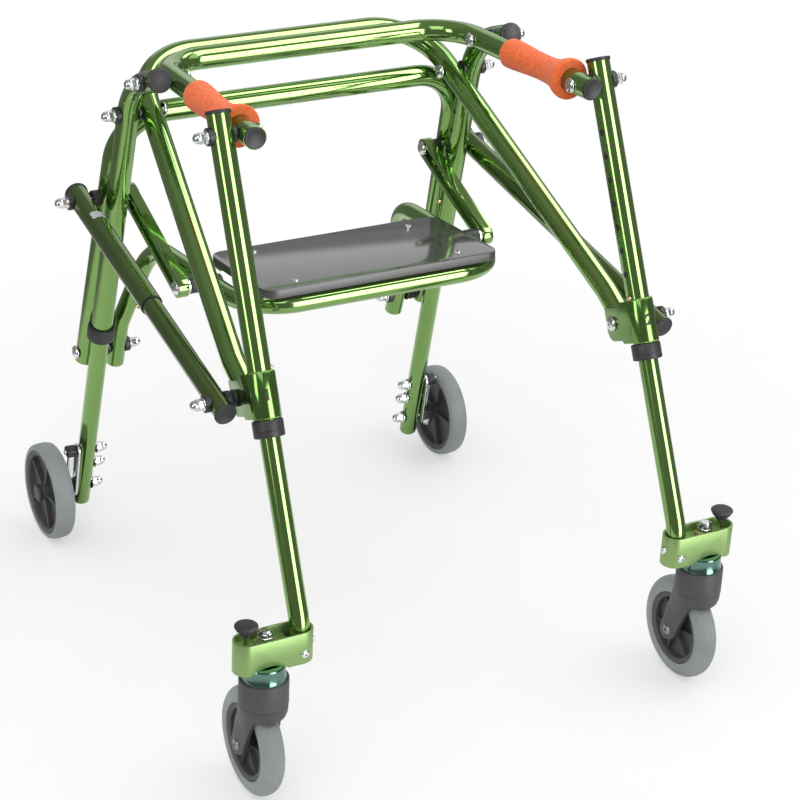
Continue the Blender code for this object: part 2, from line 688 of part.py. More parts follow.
def make_wheel_brackets():
    """Plate with the axle stub, the pawl that drops into the hub's ratchet ring, and three bolts."""
    outward = REAR_BACK.cross(REAR_UP)
    face = Matrix((REAR_BACK, REAR_UP, outward)).transposed().to_4x4()
    plate_middle = LEG_R + SEAT_GAP + BRACKET_PLATE / 2
    top = (WHEEL_BOLTS[-1] - REAR_AXLE).length
    outline = arc((0, 0), BRACKET_LOW_R, 180, 360, 6) + arc((0, top), BRACKET_TOP_R, 0, 180, 5)
    middle = Matrix.Translation(REAR_AXLE + outward * plate_middle) @ face
    bracket = plate(outline, BRACKET_PLATE, middle)

    local = Matrix.Translation(REAR_AXLE) @ face
    start = LEG_R + SEAT_GAP + BRACKET_PLATE / 2
    pawl_low = GEAR_R + SEAT_GAP
    housing = box(
        (-PAWL_HOUSING / 2, top - PAWL_HOUSING / 4, start),
        (PAWL_HOUSING / 2, top + PAWL_HOUSING * 0.75, start + PAWL_DEPTH),
        local,
    )
    gear_depth = GEAR_X - REAR_AXLE.x
    pawl = box(
        (-PAWL_WIDTH / 2, pawl_low, gear_depth),
        (PAWL_WIDTH / 2, top, gear_depth + PAWL_WIDTH),
        local,
    )
    end_x = REAR_WHEEL_X + HUB_BOSS_HALF + SEAT_GAP
    inner_x = REAR_AXLE.x - LEG_R - SEAT_GAP
    axle = shank(REAR_AXLE, inner_x - NUT_FLANGE, end_x + HEAD_HEIGHT / 2, AXLE_R)
    pieces = [housing, pawl, axle, dome_head(REAR_AXLE, end_x, 1), acorn_nut(REAR_AXLE, inner_x, -1)]
    for bolt in WHEEL_BOLTS:
        nut_x = bolt.x - LEG_R - SEAT_GAP
        outer_x = bolt.x + LEG_R + BRACKET_PLATE
        pieces.append(shank(bolt, nut_x - NUT_FLANGE, outer_x))
        pieces.append(acorn_nut(bolt, nut_x, -1))
    pair(joined(bracket, *pieces), "wheel_bracket", STEEL, REAR_AXLE)


def tyre_profile():
    """Half the tyre's section, from its bore to the middle of the tread, and mirrored."""
    half = WHEEL_WIDTH / 2
    side = [
        (RIM_R, half),
        (WHEEL_R - TYRE_SHOULDER, half),
        (WHEEL_R - TYRE_SHOULDER * 0.35, half * 0.84),
        (WHEEL_R, half * 0.36),
    ]
    return [(RIM_R, -half)] + side + [(r, -x) for r, x in reversed(side[1:])]


def hub_profile(boss_low, boss_high):
    """Hub section: boss, web and rim, with the boss ends given from the wheel's middle."""
    rim = RIM_R - SEAT_GAP
    rim_inner, half, web = rim - HUB_RIM, WHEEL_WIDTH / 2 - HUB_RECESS, HUB_WEB / 2
    bore = fitted(AXLE_R, WHEEL_SIDES, PIN_GAP)
    return [
        (bore, boss_low),
        (bore, boss_high),
        (HUB_BOSS_R, boss_high),
        (HUB_BOSS_R, web),
        (rim_inner, web),
        (rim_inner, half),
        (rim, half),
        (rim, -half),
        (rim_inner, -half),
        (rim_inner, -web),
        (HUB_BOSS_R, -web),
        (HUB_BOSS_R, boss_low),
    ]


def make_rear_wheels():
    centre = with_x(REAR_AXLE, REAR_WHEEL_X)
    place = aimed(centre, ACROSS)
    pair(turned(tyre_profile(), place, WHEEL_SIDES), "rear_tyre", TYRE, centre)
    plate_x = REAR_AXLE.x + LEG_R + SEAT_GAP + BRACKET_PLATE
    boss_low = plate_x + BRACKET_PLATE / 6 - REAR_WHEEL_X
    hub = turned(hub_profile(boss_low, HUB_BOSS_HALF), place, WHEEL_SIDES)
    teeth = []
    for tooth in range(2 * GEAR_TEETH):
        angle = pi * tooth / GEAR_TEETH
        radius = GEAR_R if tooth % 2 else GEAR_R - GEAR_TOOTH
        teeth.append((radius * cos(angle), radius * sin(angle)))
    gear = plate(teeth, GEAR_THICK, aimed(with_x(centre, GEAR_X + GEAR_THICK / 2), ACROSS))
    bore = drill(centre, HUB_BOSS_R * 0.8, WHEEL_WIDTH * 2)
    pair(joined(hub, cut(gear, bore)), "rear_hub", HUB, centre)


# Front legs


def make_front_legs():
    """Outer tube, its plug and the welded knuckle bracket that the diagonal brace bolts to."""
    low, top = front_axis(FRONT_TUBE_LOW), front_axis(FRONT_LEG_TOP)
    leg = tube([low, top], FRAME_R)

    wall_r = FRAME_R + EAR_GAP + BRACKET_WALL
    ear_x, reach = FRAME_R + EAR_GAP, EAR_OFFSET + EAR_PAST_BOLT
    web = FRAME_R * 0.25
    outline = arc((0, 0), wall_r, 180, 360, 8) + [
        (wall_r, reach),
        (ear_x, reach),
        (ear_x, web),
        (-ear_x, web),
        (-ear_x, reach),
        (-wall_r, reach),
    ]
    middle = front_axis(BRACKET_MID_Z)
    across_leg = Matrix((FRONT_BACK.cross(FRONT_UP), FRONT_BACK, FRONT_UP)).transposed().to_4x4()
    bracket = plate(outline, BRACKET_HEIGHT, Matrix.Translation(middle) @ across_leg)

    side_view = Matrix((FRONT_BACK, FRONT_UP, FRONT_BACK.cross(FRONT_UP))).transposed().to_4x4()
    side_view = Matrix.Translation(middle) @ side_view
    high, past = BRACKET_HEIGHT / 2, reach * 1.2
    ear_top = high - EAR_DROP
    ear_low = ear_top - EAR_HEIGHT
    corner = (reach - EAR_CORNER_R, ear_low + EAR_CORNER_R)
    above = [
        (wall_r, high * 1.1),
        (past, high * 1.1),
        (past, ear_top),
        (wall_r + EAR_DROP, ear_top),
    ]
    below = [(wall_r, -high * 1.1), (wall_r + EAR_DROP, ear_low)] + arc(
        corner, EAR_CORNER_R, -90, 0, 4
    )
    below += [(past, corner[1]), (past, -high * 1.1)]
    depth = wall_r * 3
    bracket = cut(bracket, plate(above, depth, side_view), plate(below, depth, side_view))
    leg = joined(leg, bracket, end_cap(top, FRONT_UP))

    bore = cylinder(low - FRONT_UP * FRAME_R, front_axis(FRONT_BORE_TOP), BORE_R)
    leg = cut(leg, bore)
    holes = [FRONT_BUTTON + FRONT_UP * HOLE_PITCH * n for n in range(FRONT_HOLES + 1)]
    drills = [pivot_drill(HANDLE_FRONT_PIVOT), pivot_drill(KNUCKLE)]
    leg = cut(leg, *side_holes(holes, -1), *drills)
    pair(leg, "front_leg", GREEN, KNUCKLE)


def make_front_collars():
    low = front_axis(FRONT_TUBE_LOW)
    pair(collar(low, FRONT_UP), "front_collar", BLACK, low)


def make_front_buttons():
    pair(snap_button(FRONT_BUTTON, -ACROSS), "front_snap_button", BRASS, FRONT_BUTTON)


def make_leg_pivots():
    """Spacer, bolt, washer and nut at the top of the front leg."""
    path = straight(HANDLE_FRONT_PIVOT, FRONT_UP)
    bolt = tube_pivot(HANDLE_FRONT_PIVOT, path, HANDLE_DIRECTION, through_inner=False)
    pair(bolt, "leg_pivot", STEEL, HANDLE_FRONT_PIVOT)


def make_knuckle_bolts():
    """Bolt through the knuckle bracket's ears, with a flat disc that faces the side brace."""
    face = FRAME_R + EAR_GAP + BRACKET_WALL + SEAT_GAP
    head_x = KNUCKLE.x - face
    flat = disc(KNUCKLE, KNUCKLE.x + face, KNUCKLE.x + face + KNUCKLE_DISC)
    end = KNUCKLE.x + face + KNUCKLE_DISC / 2
    pin = shank(KNUCKLE, head_x - HEAD_HEIGHT / 2, end)
    bolt = joined(pin, flat, dome_head(KNUCKLE, head_x, -1))
    pair(bolt, "knuckle_bolt", STEEL, KNUCKLE)


def make_front_inner_legs():
    bend = Vector((LEG_BEND_X, CASTER_Y, LEG_BEND_Z))
    foot = Vector((LEG_BEND_X, CASTER_Y, ARM_BOTTOM + ARM_FOOT_LIFT))
    top = FRONT_BUTTON + FRONT_UP * INNER_LEG_REACH
    leg = tube(rounded_path([top, bend, foot], [FRONT_BEND_R]), LEG_R)
    pair(cut(leg, *side_holes([FRONT_BUTTON], -1)), "front_inner_leg", GREEN, foot)


# Upper part


def make_handle_bar():
    """U-bent bar round the back, with the domed bolt heads that end its front pivots."""
    start = HANDLE_FRONT + HANDLE_DIRECTION * HANDLE_PAST_PIVOT
    corner = HANDLE_CORNER
    other = [with_x(corner, -corner.x), with_x(start, -start.x)]
    bar = tube(rounded_path([start, corner] + other, [HANDLE_BEND_R] * 2), FRAME_R)
    head = dome_head(HANDLE_FRONT, HANDLE_FRONT.x - FRAME_R + flare_gap(HANDLE_DIRECTION) / 4, -1)
    for piece in (head, end_cap(start, HANDLE_DIRECTION)):
        bar = joined(bar, *both_sides(piece))
    bar = cut(bar, *both_sides(pivot_drill(HANDLE_REAR)))
    finished(bar, "handle_bar", GREEN, (0, HANDLE_REAR.y, HANDLE_REAR.z))


def make_grips():
    bore, length = fitted(FRAME_R), GRIP_LENGTH
    front = HANDLE_FRONT - HANDLE_DIRECTION * GRIP_FROM_PIVOT
    flange, edge = GRIP_FLANGE_R, GRIP_FLANGE_WIDTH / 4
    profile = [
        (bore, 0),
        (bore, length),
        (flange - edge, length),
        (flange, length - edge),
        (flange, length - 3 * edge),
        (flange - edge * 2, length - 5 * edge),
        (GRIP_WAIST_R + edge / 2, length - 12 * edge),
        (GRIP_WAIST_R, length * 0.45),
        (GRIP_REAR_R - edge / 2, length * 0.1),
        (GRIP_REAR_R, length * 0.05),
        (GRIP_REAR_R - edge, 0),
    ]
    place = aimed(front - HANDLE_DIRECTION * length, HANDLE_DIRECTION)
    pair(turned(profile, place), "grip", FOAM, front)


def make_diagonal_brace():
    """U-bent tube from the uprights down to the knuckle brackets, where its ends run square."""
    end = KNUCKLE + DIAGONAL_DOWN * DIAGONAL_PAST_KNUCKLE
    half = [end, DIAGONAL_BEND, DIAGONAL_CORNER]
    other = [with_x(point, -point.x) for point in reversed(half)]
    radii = [DIAGONAL_EASE_R, DIAGONAL_BEND_R, DIAGONAL_BEND_R, DIAGONAL_EASE_R]
    brace = tube(rounded_path(half + other, radii), FRAME_R)
    drills = both_sides(pivot_drill(DIAGONAL_HOLE)) + both_sides(pivot_drill(KNUCKLE))
    pivot = (0, DIAGONAL_HOLE.y, DIAGONAL_HOLE.z)
    finished(cut(brace, *drills), "diagonal_brace", GREEN, pivot)


def make_side_braces():
    """Telescopic brace: outer and inner tube with their own washers and nuts, release button."""
    along, facing = BRACE_DIRECTION, BRACE_BUTTON_SIDE
    rear = BRACE_REAR_HOLE - along * BRACE_PAST_PIVOT
    mouth = BRACE_REAR_HOLE + along * BRACE_MOUTH
    bore_end = BRACE_REAR_HOLE + along * FRAME_R
    button_at = BRACE_REAR_HOLE + along * BRACE_BUTTON_AT
    outer_x = BRACE_REAR_HOLE.x + FRAME_R
    washer = disc(BRACE_REAR_HOLE, outer_x - SADDLE_WING, outer_x + WASHER_THICK)
    outer = joined(tube([rear, mouth], FRAME_R), end_cap(rear, along), washer)
    outer = cut(outer, cylinder(mouth + along * FRAME_R, bore_end, BORE_R))
    outer = cut(outer, button_hole(button_at, facing), pivot_drill(BRACE_REAR_HOLE))
    outer = joined(outer, acorn_nut(BRACE_REAR_HOLE, outer_x + WASHER_THICK - SEAT_GAP, 1))
    pair(outer, "side_brace_outer", GREEN, BRACE_REAR_HOLE)

    pin, tube_x = BRACE_FRONT_HOLE, BRACE_FRONT_HOLE.x
    disc_x = KNUCKLE.x + FRAME_R + EAR_GAP + BRACKET_WALL + KNUCKLE_DISC + BRACE_SIDE_PLAY
    front = pin + along * BRACE_PAST_KNUCKLE
    inner = joined(
        tube([BRACE_REAR_HOLE + along * BRACE_INNER_START, front], LEG_R),
        cylinder(front, front + along * BRACE_CAP, LEG_R + BRACE_CAP / 3),
        disc(pin, disc_x, tube_x - LEG_R + SADDLE_WING),
        disc(pin, tube_x + LEG_R - SADDLE_WING, tube_x + LEG_R + WASHER_THICK),
        acorn_nut(pin, tube_x + LEG_R + WASHER_THICK - SEAT_GAP, 1),
    )
    inner = cut(inner, button_hole(button_at, facing))
    pair(inner, "side_brace_inner", GREEN, pin)
    pair(snap_button(button_at, facing), "brace_button", BRASS, button_at)


def make_brace_pivots():
    """Long bolt through the hoop into the side brace and the slot of the seat link."""
    pin, hoop_path = LINK_PIN, straight(LINK_PIN, HOOP_UP)
    link_face = LINK_INNER_X + LINK_DEPTH + SEAT_GAP
    head_x = LINK_INNER_X - SEAT_GAP
    brace_face = BRACE_REAR_HOLE.x - FRAME_R - flare_gap(BRACE_DIRECTION)
    end = BRACE_REAR_HOLE.x + FRAME_R + WASHER_THICK / 2
    bolt = joined(
        shank(pin, head_x - HEAD_HEIGHT / 2, end),
        saddle(pin, link_face, hoop_path, FRAME_R),
        saddle(pin, brace_face, hoop_path, FRAME_R),
        dome_head(pin, head_x, -1),
    )
    pair(bolt, "brace_pivot", STEEL, pin)


# Casters


def make_caster_arms():
    """Race-track sleeve on the foot of the leg, with a cross plate, bearing tube and cup."""
    outer_r = ARM_R
    half_width = outer_r - ARM_WALL
    inner_x = LEG_BEND_X - outer_r
    middle = Vector((0, CASTER_Y, (ARM_BOTTOM + ARM_TOP) / 2))
    place = Matrix.Translation(middle)
    height = ARM_TOP - ARM_BOTTOM
    shell = plate(stadium(inner_x, ARM_OUTER_X, outer_r), height, place)
    hollow = plate(
        stadium(inner_x + ARM_WALL, ARM_OUTER_X - ARM_WALL, half_width), height * 1.2, place
    )
    scallop = cylinder(
        Vector((CASTER_X, CASTER_Y - WHEEL_WIDTH, ARM_BOTTOM + SCALLOP_RISE - SCALLOP_R)),
        Vector((CASTER_X, CASTER_Y + WHEEL_WIDTH, ARM_BOTTOM + SCALLOP_RISE - SCALLOP_R)),
        SCALLOP_R,
        WHEEL_SIDES,
    )
    shell = cut(shell, hollow, scallop)

    overlap = half_width + ARM_WALL / 2
    outline = [(ARM_PLATE_START_X, -overlap)]
    outline += arc((ARM_OUTER_X - outer_r, 0), overlap, -90, 90, 6)
    outline += [(ARM_PLATE_START_X, overlap)]
    plate_middle = Vector((0, CASTER_Y, ARM_PLATE_TOP - ARM_WALL / 2))
    cross = plate(outline, ARM_WALL, Matrix.Translation(plate_middle))

    bore = fitted(STEM_R, gap=PIN_GAP)
    tube_r = half_width - ARM_WALL / 6
    low, waist = NECK_TOP + SEAT_GAP, CUP_R * 0.65
    bearing = [
        (bore, low),
        (bore, ARM_PLATE_TOP),
        (tube_r, ARM_PLATE_TOP - ARM_WALL / 2),
        (tube_r, CUP_TOP),
        (waist, CUP_TOP),
        (CUP_R, CUP_TOP - (CUP_R - waist) * 1.3),
        (CUP_R, low + ARM_WALL),
        (CUP_R - ARM_WALL / 2, low),
    ]
    swivel = Vector((CASTER_X, CASTER_Y, 0))
    stem_hole = drill(Vector((CASTER_X, CASTER_Y, ARM_PLATE_TOP)), tube_r * 0.9, ARM_WALL * 3, AXIS_Z)
    pin_hole = drill(Vector((KNOB_X, CASTER_Y, ARM_PLATE_TOP)), KNOB_PIN_R, ARM_WALL * 3, AXIS_Z)
    cross = cut(cross, stem_hole, pin_hole)
    arm = joined(shell, cross, turned(bearing, aimed(swivel, AXIS_Z)))
    pair(arm, "caster_arm", LIGHT_GREEN, (CASTER_X, CASTER_Y, ARM_PLATE_TOP))


def make_pull_knobs():
    """Mushroom knob on the pin that locks the swivel."""
    height = KNOB_TOP - ARM_TOP - SEAT_GAP * 3
    bottom = -(ARM_TOP + SEAT_GAP * 3 - KNOB_PIN_BOTTOM)
    profile = [
        (0, height),
        (KNOB_R * 0.55, height * 0.96),
        (KNOB_R * 0.88, height * 0.82),
        (KNOB_R, height * 0.62),
        (KNOB_R * 0.96, height * 0.45),
        (KNOB_R * 0.66, 0),
        (KNOB_PIN_R, 0),
        (KNOB_PIN_R, bottom),
        (0, bottom),
    ]
    base = Vector((KNOB_X, CASTER_Y, ARM_TOP + SEAT_GAP * 3))
    pair(turned(profile, aimed(base, AXIS_Z)), "pull_knob", BLACK, base)


def make_caster_forks():
    """Fork with a round neck, tapered plates, threaded stem with castle nut, and the wheel axle."""
    swivel = Vector((CASTER_X, CASTER_Y, 0))
    axle = CASTER_AXLE
    stem_foot = NECK_TOP - NECK_R * 0.2
    washer_low = ARM_PLATE_TOP + SEAT_GAP
    washer_top = washer_low + STEM_WASHER
    nut_top = washer_top + STEM_NUT
    upright = aimed(swivel, AXIS_Z)
    neck = turned(
        [(0, NECK_TOP), (NECK_R * 0.92, NECK_TOP), (NECK_R, NECK_TOP - NECK_R * 0.1),
         (NECK_R, NECK_BOTTOM), (0, NECK_BOTTOM)],
        upright,
        WHEEL_SIDES,
    )
    stem = turned(
        [(0, STEM_TOP), (STEM_R, STEM_TOP), (STEM_R, stem_foot), (0, stem_foot)], upright
    )
    washer = turned(
        [(0, washer_top), (STEM_WASHER_R, washer_top), (STEM_WASHER_R, washer_low), (0, washer_low)],
        upright,
    )
    nut = turned(
        [(0, nut_top), (STEM_NUT_R, nut_top), (STEM_NUT_R, washer_top - STEM_WASHER / 2),
         (0, washer_top - STEM_WASHER / 2)],
        upright,
        6,
    )

    half_top = NECK_R * 0.97
    neck_y, neck_low = CASTER_Y - axle.y, NECK_BOTTOM + NECK_R * 0.45 - axle.z
    boss = arc((0, 0), FORK_BOSS_R, 195, 345, 6)
    cheek_outline = boss + [(neck_y + half_top, neck_low), (neck_y - half_top, neck_low)]
    side_view = Matrix((Vector((0, 1, 0)), AXIS_Z, ACROSS)).transposed().to_4x4()
    cheeks = []
    for side in (-1, 1):
        cheek_x = CASTER_X + side * (FORK_INNER + FORK_PLATE / 2)
        place = Matrix.Translation(with_x(axle, cheek_x)) @ side_view
        cheeks.append(plate(cheek_outline, FORK_PLATE, place))
    fork = joined(neck, *cheeks)
    clearance = cylinder(
        with_x(axle, CASTER_X - FORK_INNER),
        with_x(axle, CASTER_X + FORK_INNER),
        WHEEL_R + FORK_CLEAR,
        WHEEL_SIDES,
    )
    fork = cut(fork, clearance)
    face = FORK_INNER + FORK_PLATE
    pin = shank(axle, CASTER_X - face - HEAD_HEIGHT / 2, CASTER_X + face + HEAD_HEIGHT / 2, AXLE_R)
    heads = [
        dome_head(axle, CASTER_X + side * (face - SEAT_GAP), side) for side in (-1, 1)
    ]
    fork = joined(fork, stem, washer, nut, pin, *heads)
    pair(fork, "caster_fork", HUB, swivel)


def make_caster_wheels():
    place = aimed(CASTER_AXLE, ACROSS)
    pair(turned(tyre_profile(), place, WHEEL_SIDES), "caster_tyre", TYRE, CASTER_AXLE)
    boss = FORK_INNER - SEAT_GAP
    hub = turned(hub_profile(-boss, boss), place, WHEEL_SIDES)
    pair(hub, "caster_hub", HUB, CASTER_AXLE)


# Seat


def seat_point(x, y, height=0):
    """A point level with the seat tubes at x and y, at a height square to the seat."""
    return with_x(seat_axis(y), x) + SEAT_NORMAL * height


def make_seat_frame():
    """Bent tube under the board, down to the seat pivots, with two straps across."""
    end = SEAT_PIVOT + SEAT_DOWN * SEAT_TAIL
    ease = SEAT_PIVOT - SEAT_DOWN * SEAT_EASE
    half = [end, ease, SEAT_BACK, seat_axis(SEAT_FRONT_Y)]
    other = [with_x(point, -point.x) for point in reversed(half)]
    radii = [SEAT_EASE_R, SEAT_BACK_BEND_R, SEAT_FRONT_BEND_R]
    frame = tube(rounded_path(half + other, radii + radii[::-1]), SEAT_R)
    for y in (STRAP_FRONT_Y, STRAP_BACK_Y):
        place = aimed(seat_point(0, y), SEAT_NORMAL)
        reach = seat_axis(y).x
        strap = box(
            (-reach, -STRAP_WIDTH / 2, STRAP_TOP - STRAP_THICK),
            (reach, STRAP_WIDTH / 2, STRAP_TOP),
            place,
        )
        frame = joined(frame, strap)
    drills = both_sides(pivot_drill(LINK_BOLT)) + both_sides(pivot_drill(SEAT_PIVOT))
    finished(cut(frame, *drills), "seat_frame", GREEN, (0, SEAT_PIVOT.y, SEAT_PIVOT.z))


def make_seat_board():
    radius, x = BOARD_CORNER_R, BOARD_HALF - BOARD_CORNER_R
    length = (seat_point(0, BOARD_BACK_Y) - seat_point(0, BOARD_FRONT_Y)).length
    y = length / 2 - radius
    outline = (
        arc((x, y), radius, 0, 90, 5)
        + arc((-x, y), radius, 90, 180, 5)
        + arc((-x, -y), radius, 180, 270, 5)
        + arc((x, -y), radius, 270, 360, 5)
    )
    centre_y = (BOARD_FRONT_Y + BOARD_BACK_Y) / 2
    middle = seat_point(0, centre_y, STRAP_TOP + SEAT_GAP + BOARD_THICK / 2)
    board = plate(outline, BOARD_THICK, aimed(middle, SEAT_NORMAL))
    finished(board, "seat_board", BOARD, middle)


def make_seat_pivots():
    """Bolt between the seat tube and the hoop, with its stack of spacers."""
    pin = SEAT_PIVOT
    inner_flat = pin.x - SEAT_R - WASHER_THICK
    stack_in, stack_out = pin.x + SEAT_R + SEAT_GAP, SEAT_PIVOT_LEG.x - FRAME_R - SEAT_GAP
    head_x = SEAT_PIVOT_LEG.x + FRAME_R + SEAT_GAP
    bolt = joined(
        shank(pin, inner_flat - NUT_FLANGE, head_x + HEAD_HEIGHT / 2),
        washer_and_nut(pin, straight(pin, SEAT_DOWN), SEAT_R, -1),
        dome_head(pin, head_x, 1),
        *spacer_stack(pin, stack_in, stack_out),
    )
    pair(bolt, "seat_pivot", STEEL, pin)


def spacer_stack(pin, start, end):
    """Washers of two sizes in turn, from start to end along X."""
    step = (end - start) / STACK_RINGS
    rings = []
    for ring in range(STACK_RINGS):
        radius = DISC_R if ring % 2 == 0 else DISC_R * 0.85
        low = start + step * ring
        rings.append(disc(pin, low, low + step * (1.05 if ring < STACK_RINGS - 1 else 1), radius))
    return rings


def make_seat_links():
    """Slotted channel from the seat tube to the hoop's pin, with the bolt at its lower end."""
    along = (with_x(LINK_PIN, 0) - with_x(LINK_BOLT, 0)).normalized()
    length = (with_x(LINK_PIN, 0) - with_x(LINK_BOLT, 0)).length
    face = Matrix((along, ACROSS.cross(along), ACROSS)).transposed().to_4x4()
    half = LINK_WIDTH / 2
    slot_r = BOLT_R + LINK_SLOT_PLAY
    far = length + slot_r
    near = far - LINK_SLOT_TRAVEL - 2 * slot_r

    def at(x):
        return Matrix.Translation(with_x(LINK_BOLT, x)) @ face

    middle = LINK_INNER_X + LINK_DEPTH / 2
    channel = plate(stadium(-half, far + half, half), LINK_DEPTH, at(middle))
    pocket_r = half - LINK_WALL
    pocket = plate(stadium(HEAD_R, far + pocket_r, pocket_r), LINK_DEPTH, at(middle + LINK_WEB))
    slot = plate(stadium(near, far, slot_r), LINK_DEPTH * 3, at(middle))
    channel = cut(channel, pocket, slot)

    bolt, outer_x = LINK_BOLT, LINK_INNER_X + LINK_DEPTH - SEAT_GAP
    nut_x = bolt.x - SEAT_R - 2 * SEAT_GAP
    washer_in = LINK_INNER_X - LINK_WASHER
    pieces = [
        shank(bolt, nut_x - HEAD_HEIGHT / 2, LINK_INNER_X + LINK_WEB / 2),
        disc(bolt, washer_in, LINK_INNER_X + LINK_WEB / 4, DISC_R * 0.8),
        disc(bolt, bolt.x + SEAT_R + 2 * SEAT_GAP, washer_in + LINK_WEB / 4),
        dome_head(bolt, nut_x, -1),
        dome_head(bolt, outer_x, 1),
    ]
    pair(joined(channel, *pieces), "seat_link", GREEN, bolt)


make_rear_hoop()
make_uprights()
make_rear_collars()
make_rear_buttons()
make_upright_pivots()
make_rear_legs()
make_wheel_brackets()
make_rear_wheels()
make_front_legs()
make_front_collars()
make_front_buttons()
make_leg_pivots()
make_knuckle_bolts()
make_front_inner_legs()
make_handle_bar()
make_grips()
make_diagonal_brace()
make_side_braces()
make_brace_pivots()
make_caster_arms()
make_pull_knobs()
make_caster_forks()
make_caster_wheels()
make_seat_frame()
make_seat_board()
make_seat_pivots()
make_seat_links()
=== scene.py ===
"""Finished look of the posterior gait trainer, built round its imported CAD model.

Bent tubes, real fasteners, foam grips and moulded wheels stand for the plain CAD solids and follow
the same centre lines. All values are in metres, and x > 0 is the side marked 2. A paired piece is
made on that side and mirrored to the other.
"""

import json
from math import atan2, ceil, cos, pi, radians, sin, sqrt, tan

import bmesh
import bpy
from mathutils import Matrix, Vector

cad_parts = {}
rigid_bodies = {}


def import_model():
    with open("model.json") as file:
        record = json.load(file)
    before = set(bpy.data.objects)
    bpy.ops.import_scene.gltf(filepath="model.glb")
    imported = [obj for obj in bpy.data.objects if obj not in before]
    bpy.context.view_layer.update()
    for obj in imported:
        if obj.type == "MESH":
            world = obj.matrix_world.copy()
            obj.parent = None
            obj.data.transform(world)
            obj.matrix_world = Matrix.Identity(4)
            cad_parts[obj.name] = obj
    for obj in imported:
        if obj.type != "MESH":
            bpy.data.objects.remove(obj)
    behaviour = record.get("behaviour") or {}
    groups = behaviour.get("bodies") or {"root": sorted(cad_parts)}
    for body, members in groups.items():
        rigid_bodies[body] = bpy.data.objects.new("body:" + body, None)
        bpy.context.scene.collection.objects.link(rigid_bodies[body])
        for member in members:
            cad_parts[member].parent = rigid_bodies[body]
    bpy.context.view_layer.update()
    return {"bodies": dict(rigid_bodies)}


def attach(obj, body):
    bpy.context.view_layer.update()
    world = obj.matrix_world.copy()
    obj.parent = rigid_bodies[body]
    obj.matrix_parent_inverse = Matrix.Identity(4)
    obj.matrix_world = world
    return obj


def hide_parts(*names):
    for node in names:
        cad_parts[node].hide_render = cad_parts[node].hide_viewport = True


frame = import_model()

ACROSS, AXIS_Z = Vector((1, 0, 0)), Vector((0, 0, 1))

# Stock, clearances and fasteners
FRAME_R, LEG_R, SEAT_R, TUBE_WALL = 0.0127, 0.0110, 0.0111, 0.0012
BORE_R = FRAME_R - TUBE_WALL
SEAT_GAP = 0.0003
BOLT_R, HEAD_R, HEAD_HEIGHT = 0.003, 0.0084, 0.0043
DISC_R, WASHER_THICK, SADDLE_WING = 0.0095, 0.0040, 0.0028
NUT_R, NUT_FLANGE_R, NUT_FLANGE, NUT_BODY, NUT_DOME = 0.0064, 0.0075, 0.0020, 0.0075, 0.0060
COLLAR_R, COLLAR_LIP, COLLAR_GRIP = 0.0165, 0.0068, 0.0113
CAP_R, CAP_HEIGHT = 0.0137, 0.0040
HOLE_PITCH, HOLE_R, BORE_WALL, BUTTON_PROUD = 0.0264, 0.0035, 0.0014, 0.0028

# Wheels
WHEEL_R, WHEEL_HALF, RIM_R, TYRE_SHOULDER, REAR_RIM_R = 0.0605, 0.0125, 0.043, 0.0105, 0.0528
AXLE_R, HUB_BOSS_HALF = 0.004, 0.0133

# Rear legs, uprights and hoop
REAR_AXLE_X, REAR_AXLE_Y, REAR_LEAN, REAR_SPLAY = 0.2343, 0.2942, 0.230, 0.025
REAR_LEG_BOTTOM, REAR_LEG_TOP, UPRIGHT_BOTTOM, UPRIGHT_BEND_R = 0.0320, 0.4250, 0.2935, 0.085
UPRIGHT_BORE_TOP, HANDLE_PIVOT_SETBACK, DIAGONAL_BELOW_BEND = 0.4810, 0.0240, 0.0065
UPRIGHT_END_Y, UPRIGHT_END_Z, STUB_SLOPE = 0.0850, 0.6621, 0.398
REAR_BUTTON_Z, REAR_HOLES, REAR_WHEEL_X = 0.4058, 6, 0.2777
HOOP_LOW_X, HOOP_SPLAY, HOOP_Z, HOOP_LOW_Z, HOOP_BEND_R = 0.2346, 0.0438, 0.5803, 0.2320, 0.060
HOOP_END_Z, HOOP_WELD_GAP = 0.2425, 0.0002
HOOP_WELDS, HOOP_WELD_SIDE = ((0.3480, 0.3720), (0.4420, 0.4640)), 0.0042
WHEEL_BOLT_UP, BRACKET_PLATE = (0.0340, 0.0570), 0.0030

# Front legs and their knuckle brackets
CASTER_Y, LEG_BEND_X, LEG_BEND_Z, FRONT_LEAN, FRONT_SPLAY = -0.3145, 0.2344, 0.2105, 0.482, 0.012
FRONT_BEND_R, FRONT_LEG_TOP, FRONT_TUBE_LOW = 0.045, 0.6865, 0.3910
BRACKET_MID_Z, BRACKET_HEIGHT, BRACKET_WALL = 0.4242, 0.0470, 0.0025
EAR_OFFSET, EAR_PAST_BOLT, EAR_HEIGHT, EAR_GAP = 0.0362, 0.0120, 0.0380, 0.0008
EAR_DROP, EAR_CORNER_R = 0.0055, 0.0120
FRONT_BUTTON_Z, FRONT_HOLES, HANDLE_PIVOT_Z = 0.4480, 7, 0.6652
FRONT_HOLE_TURN, LEG_PAST_BUTTON, KNUCKLE_SPACER = radians(12), 0.0220, 0.0036

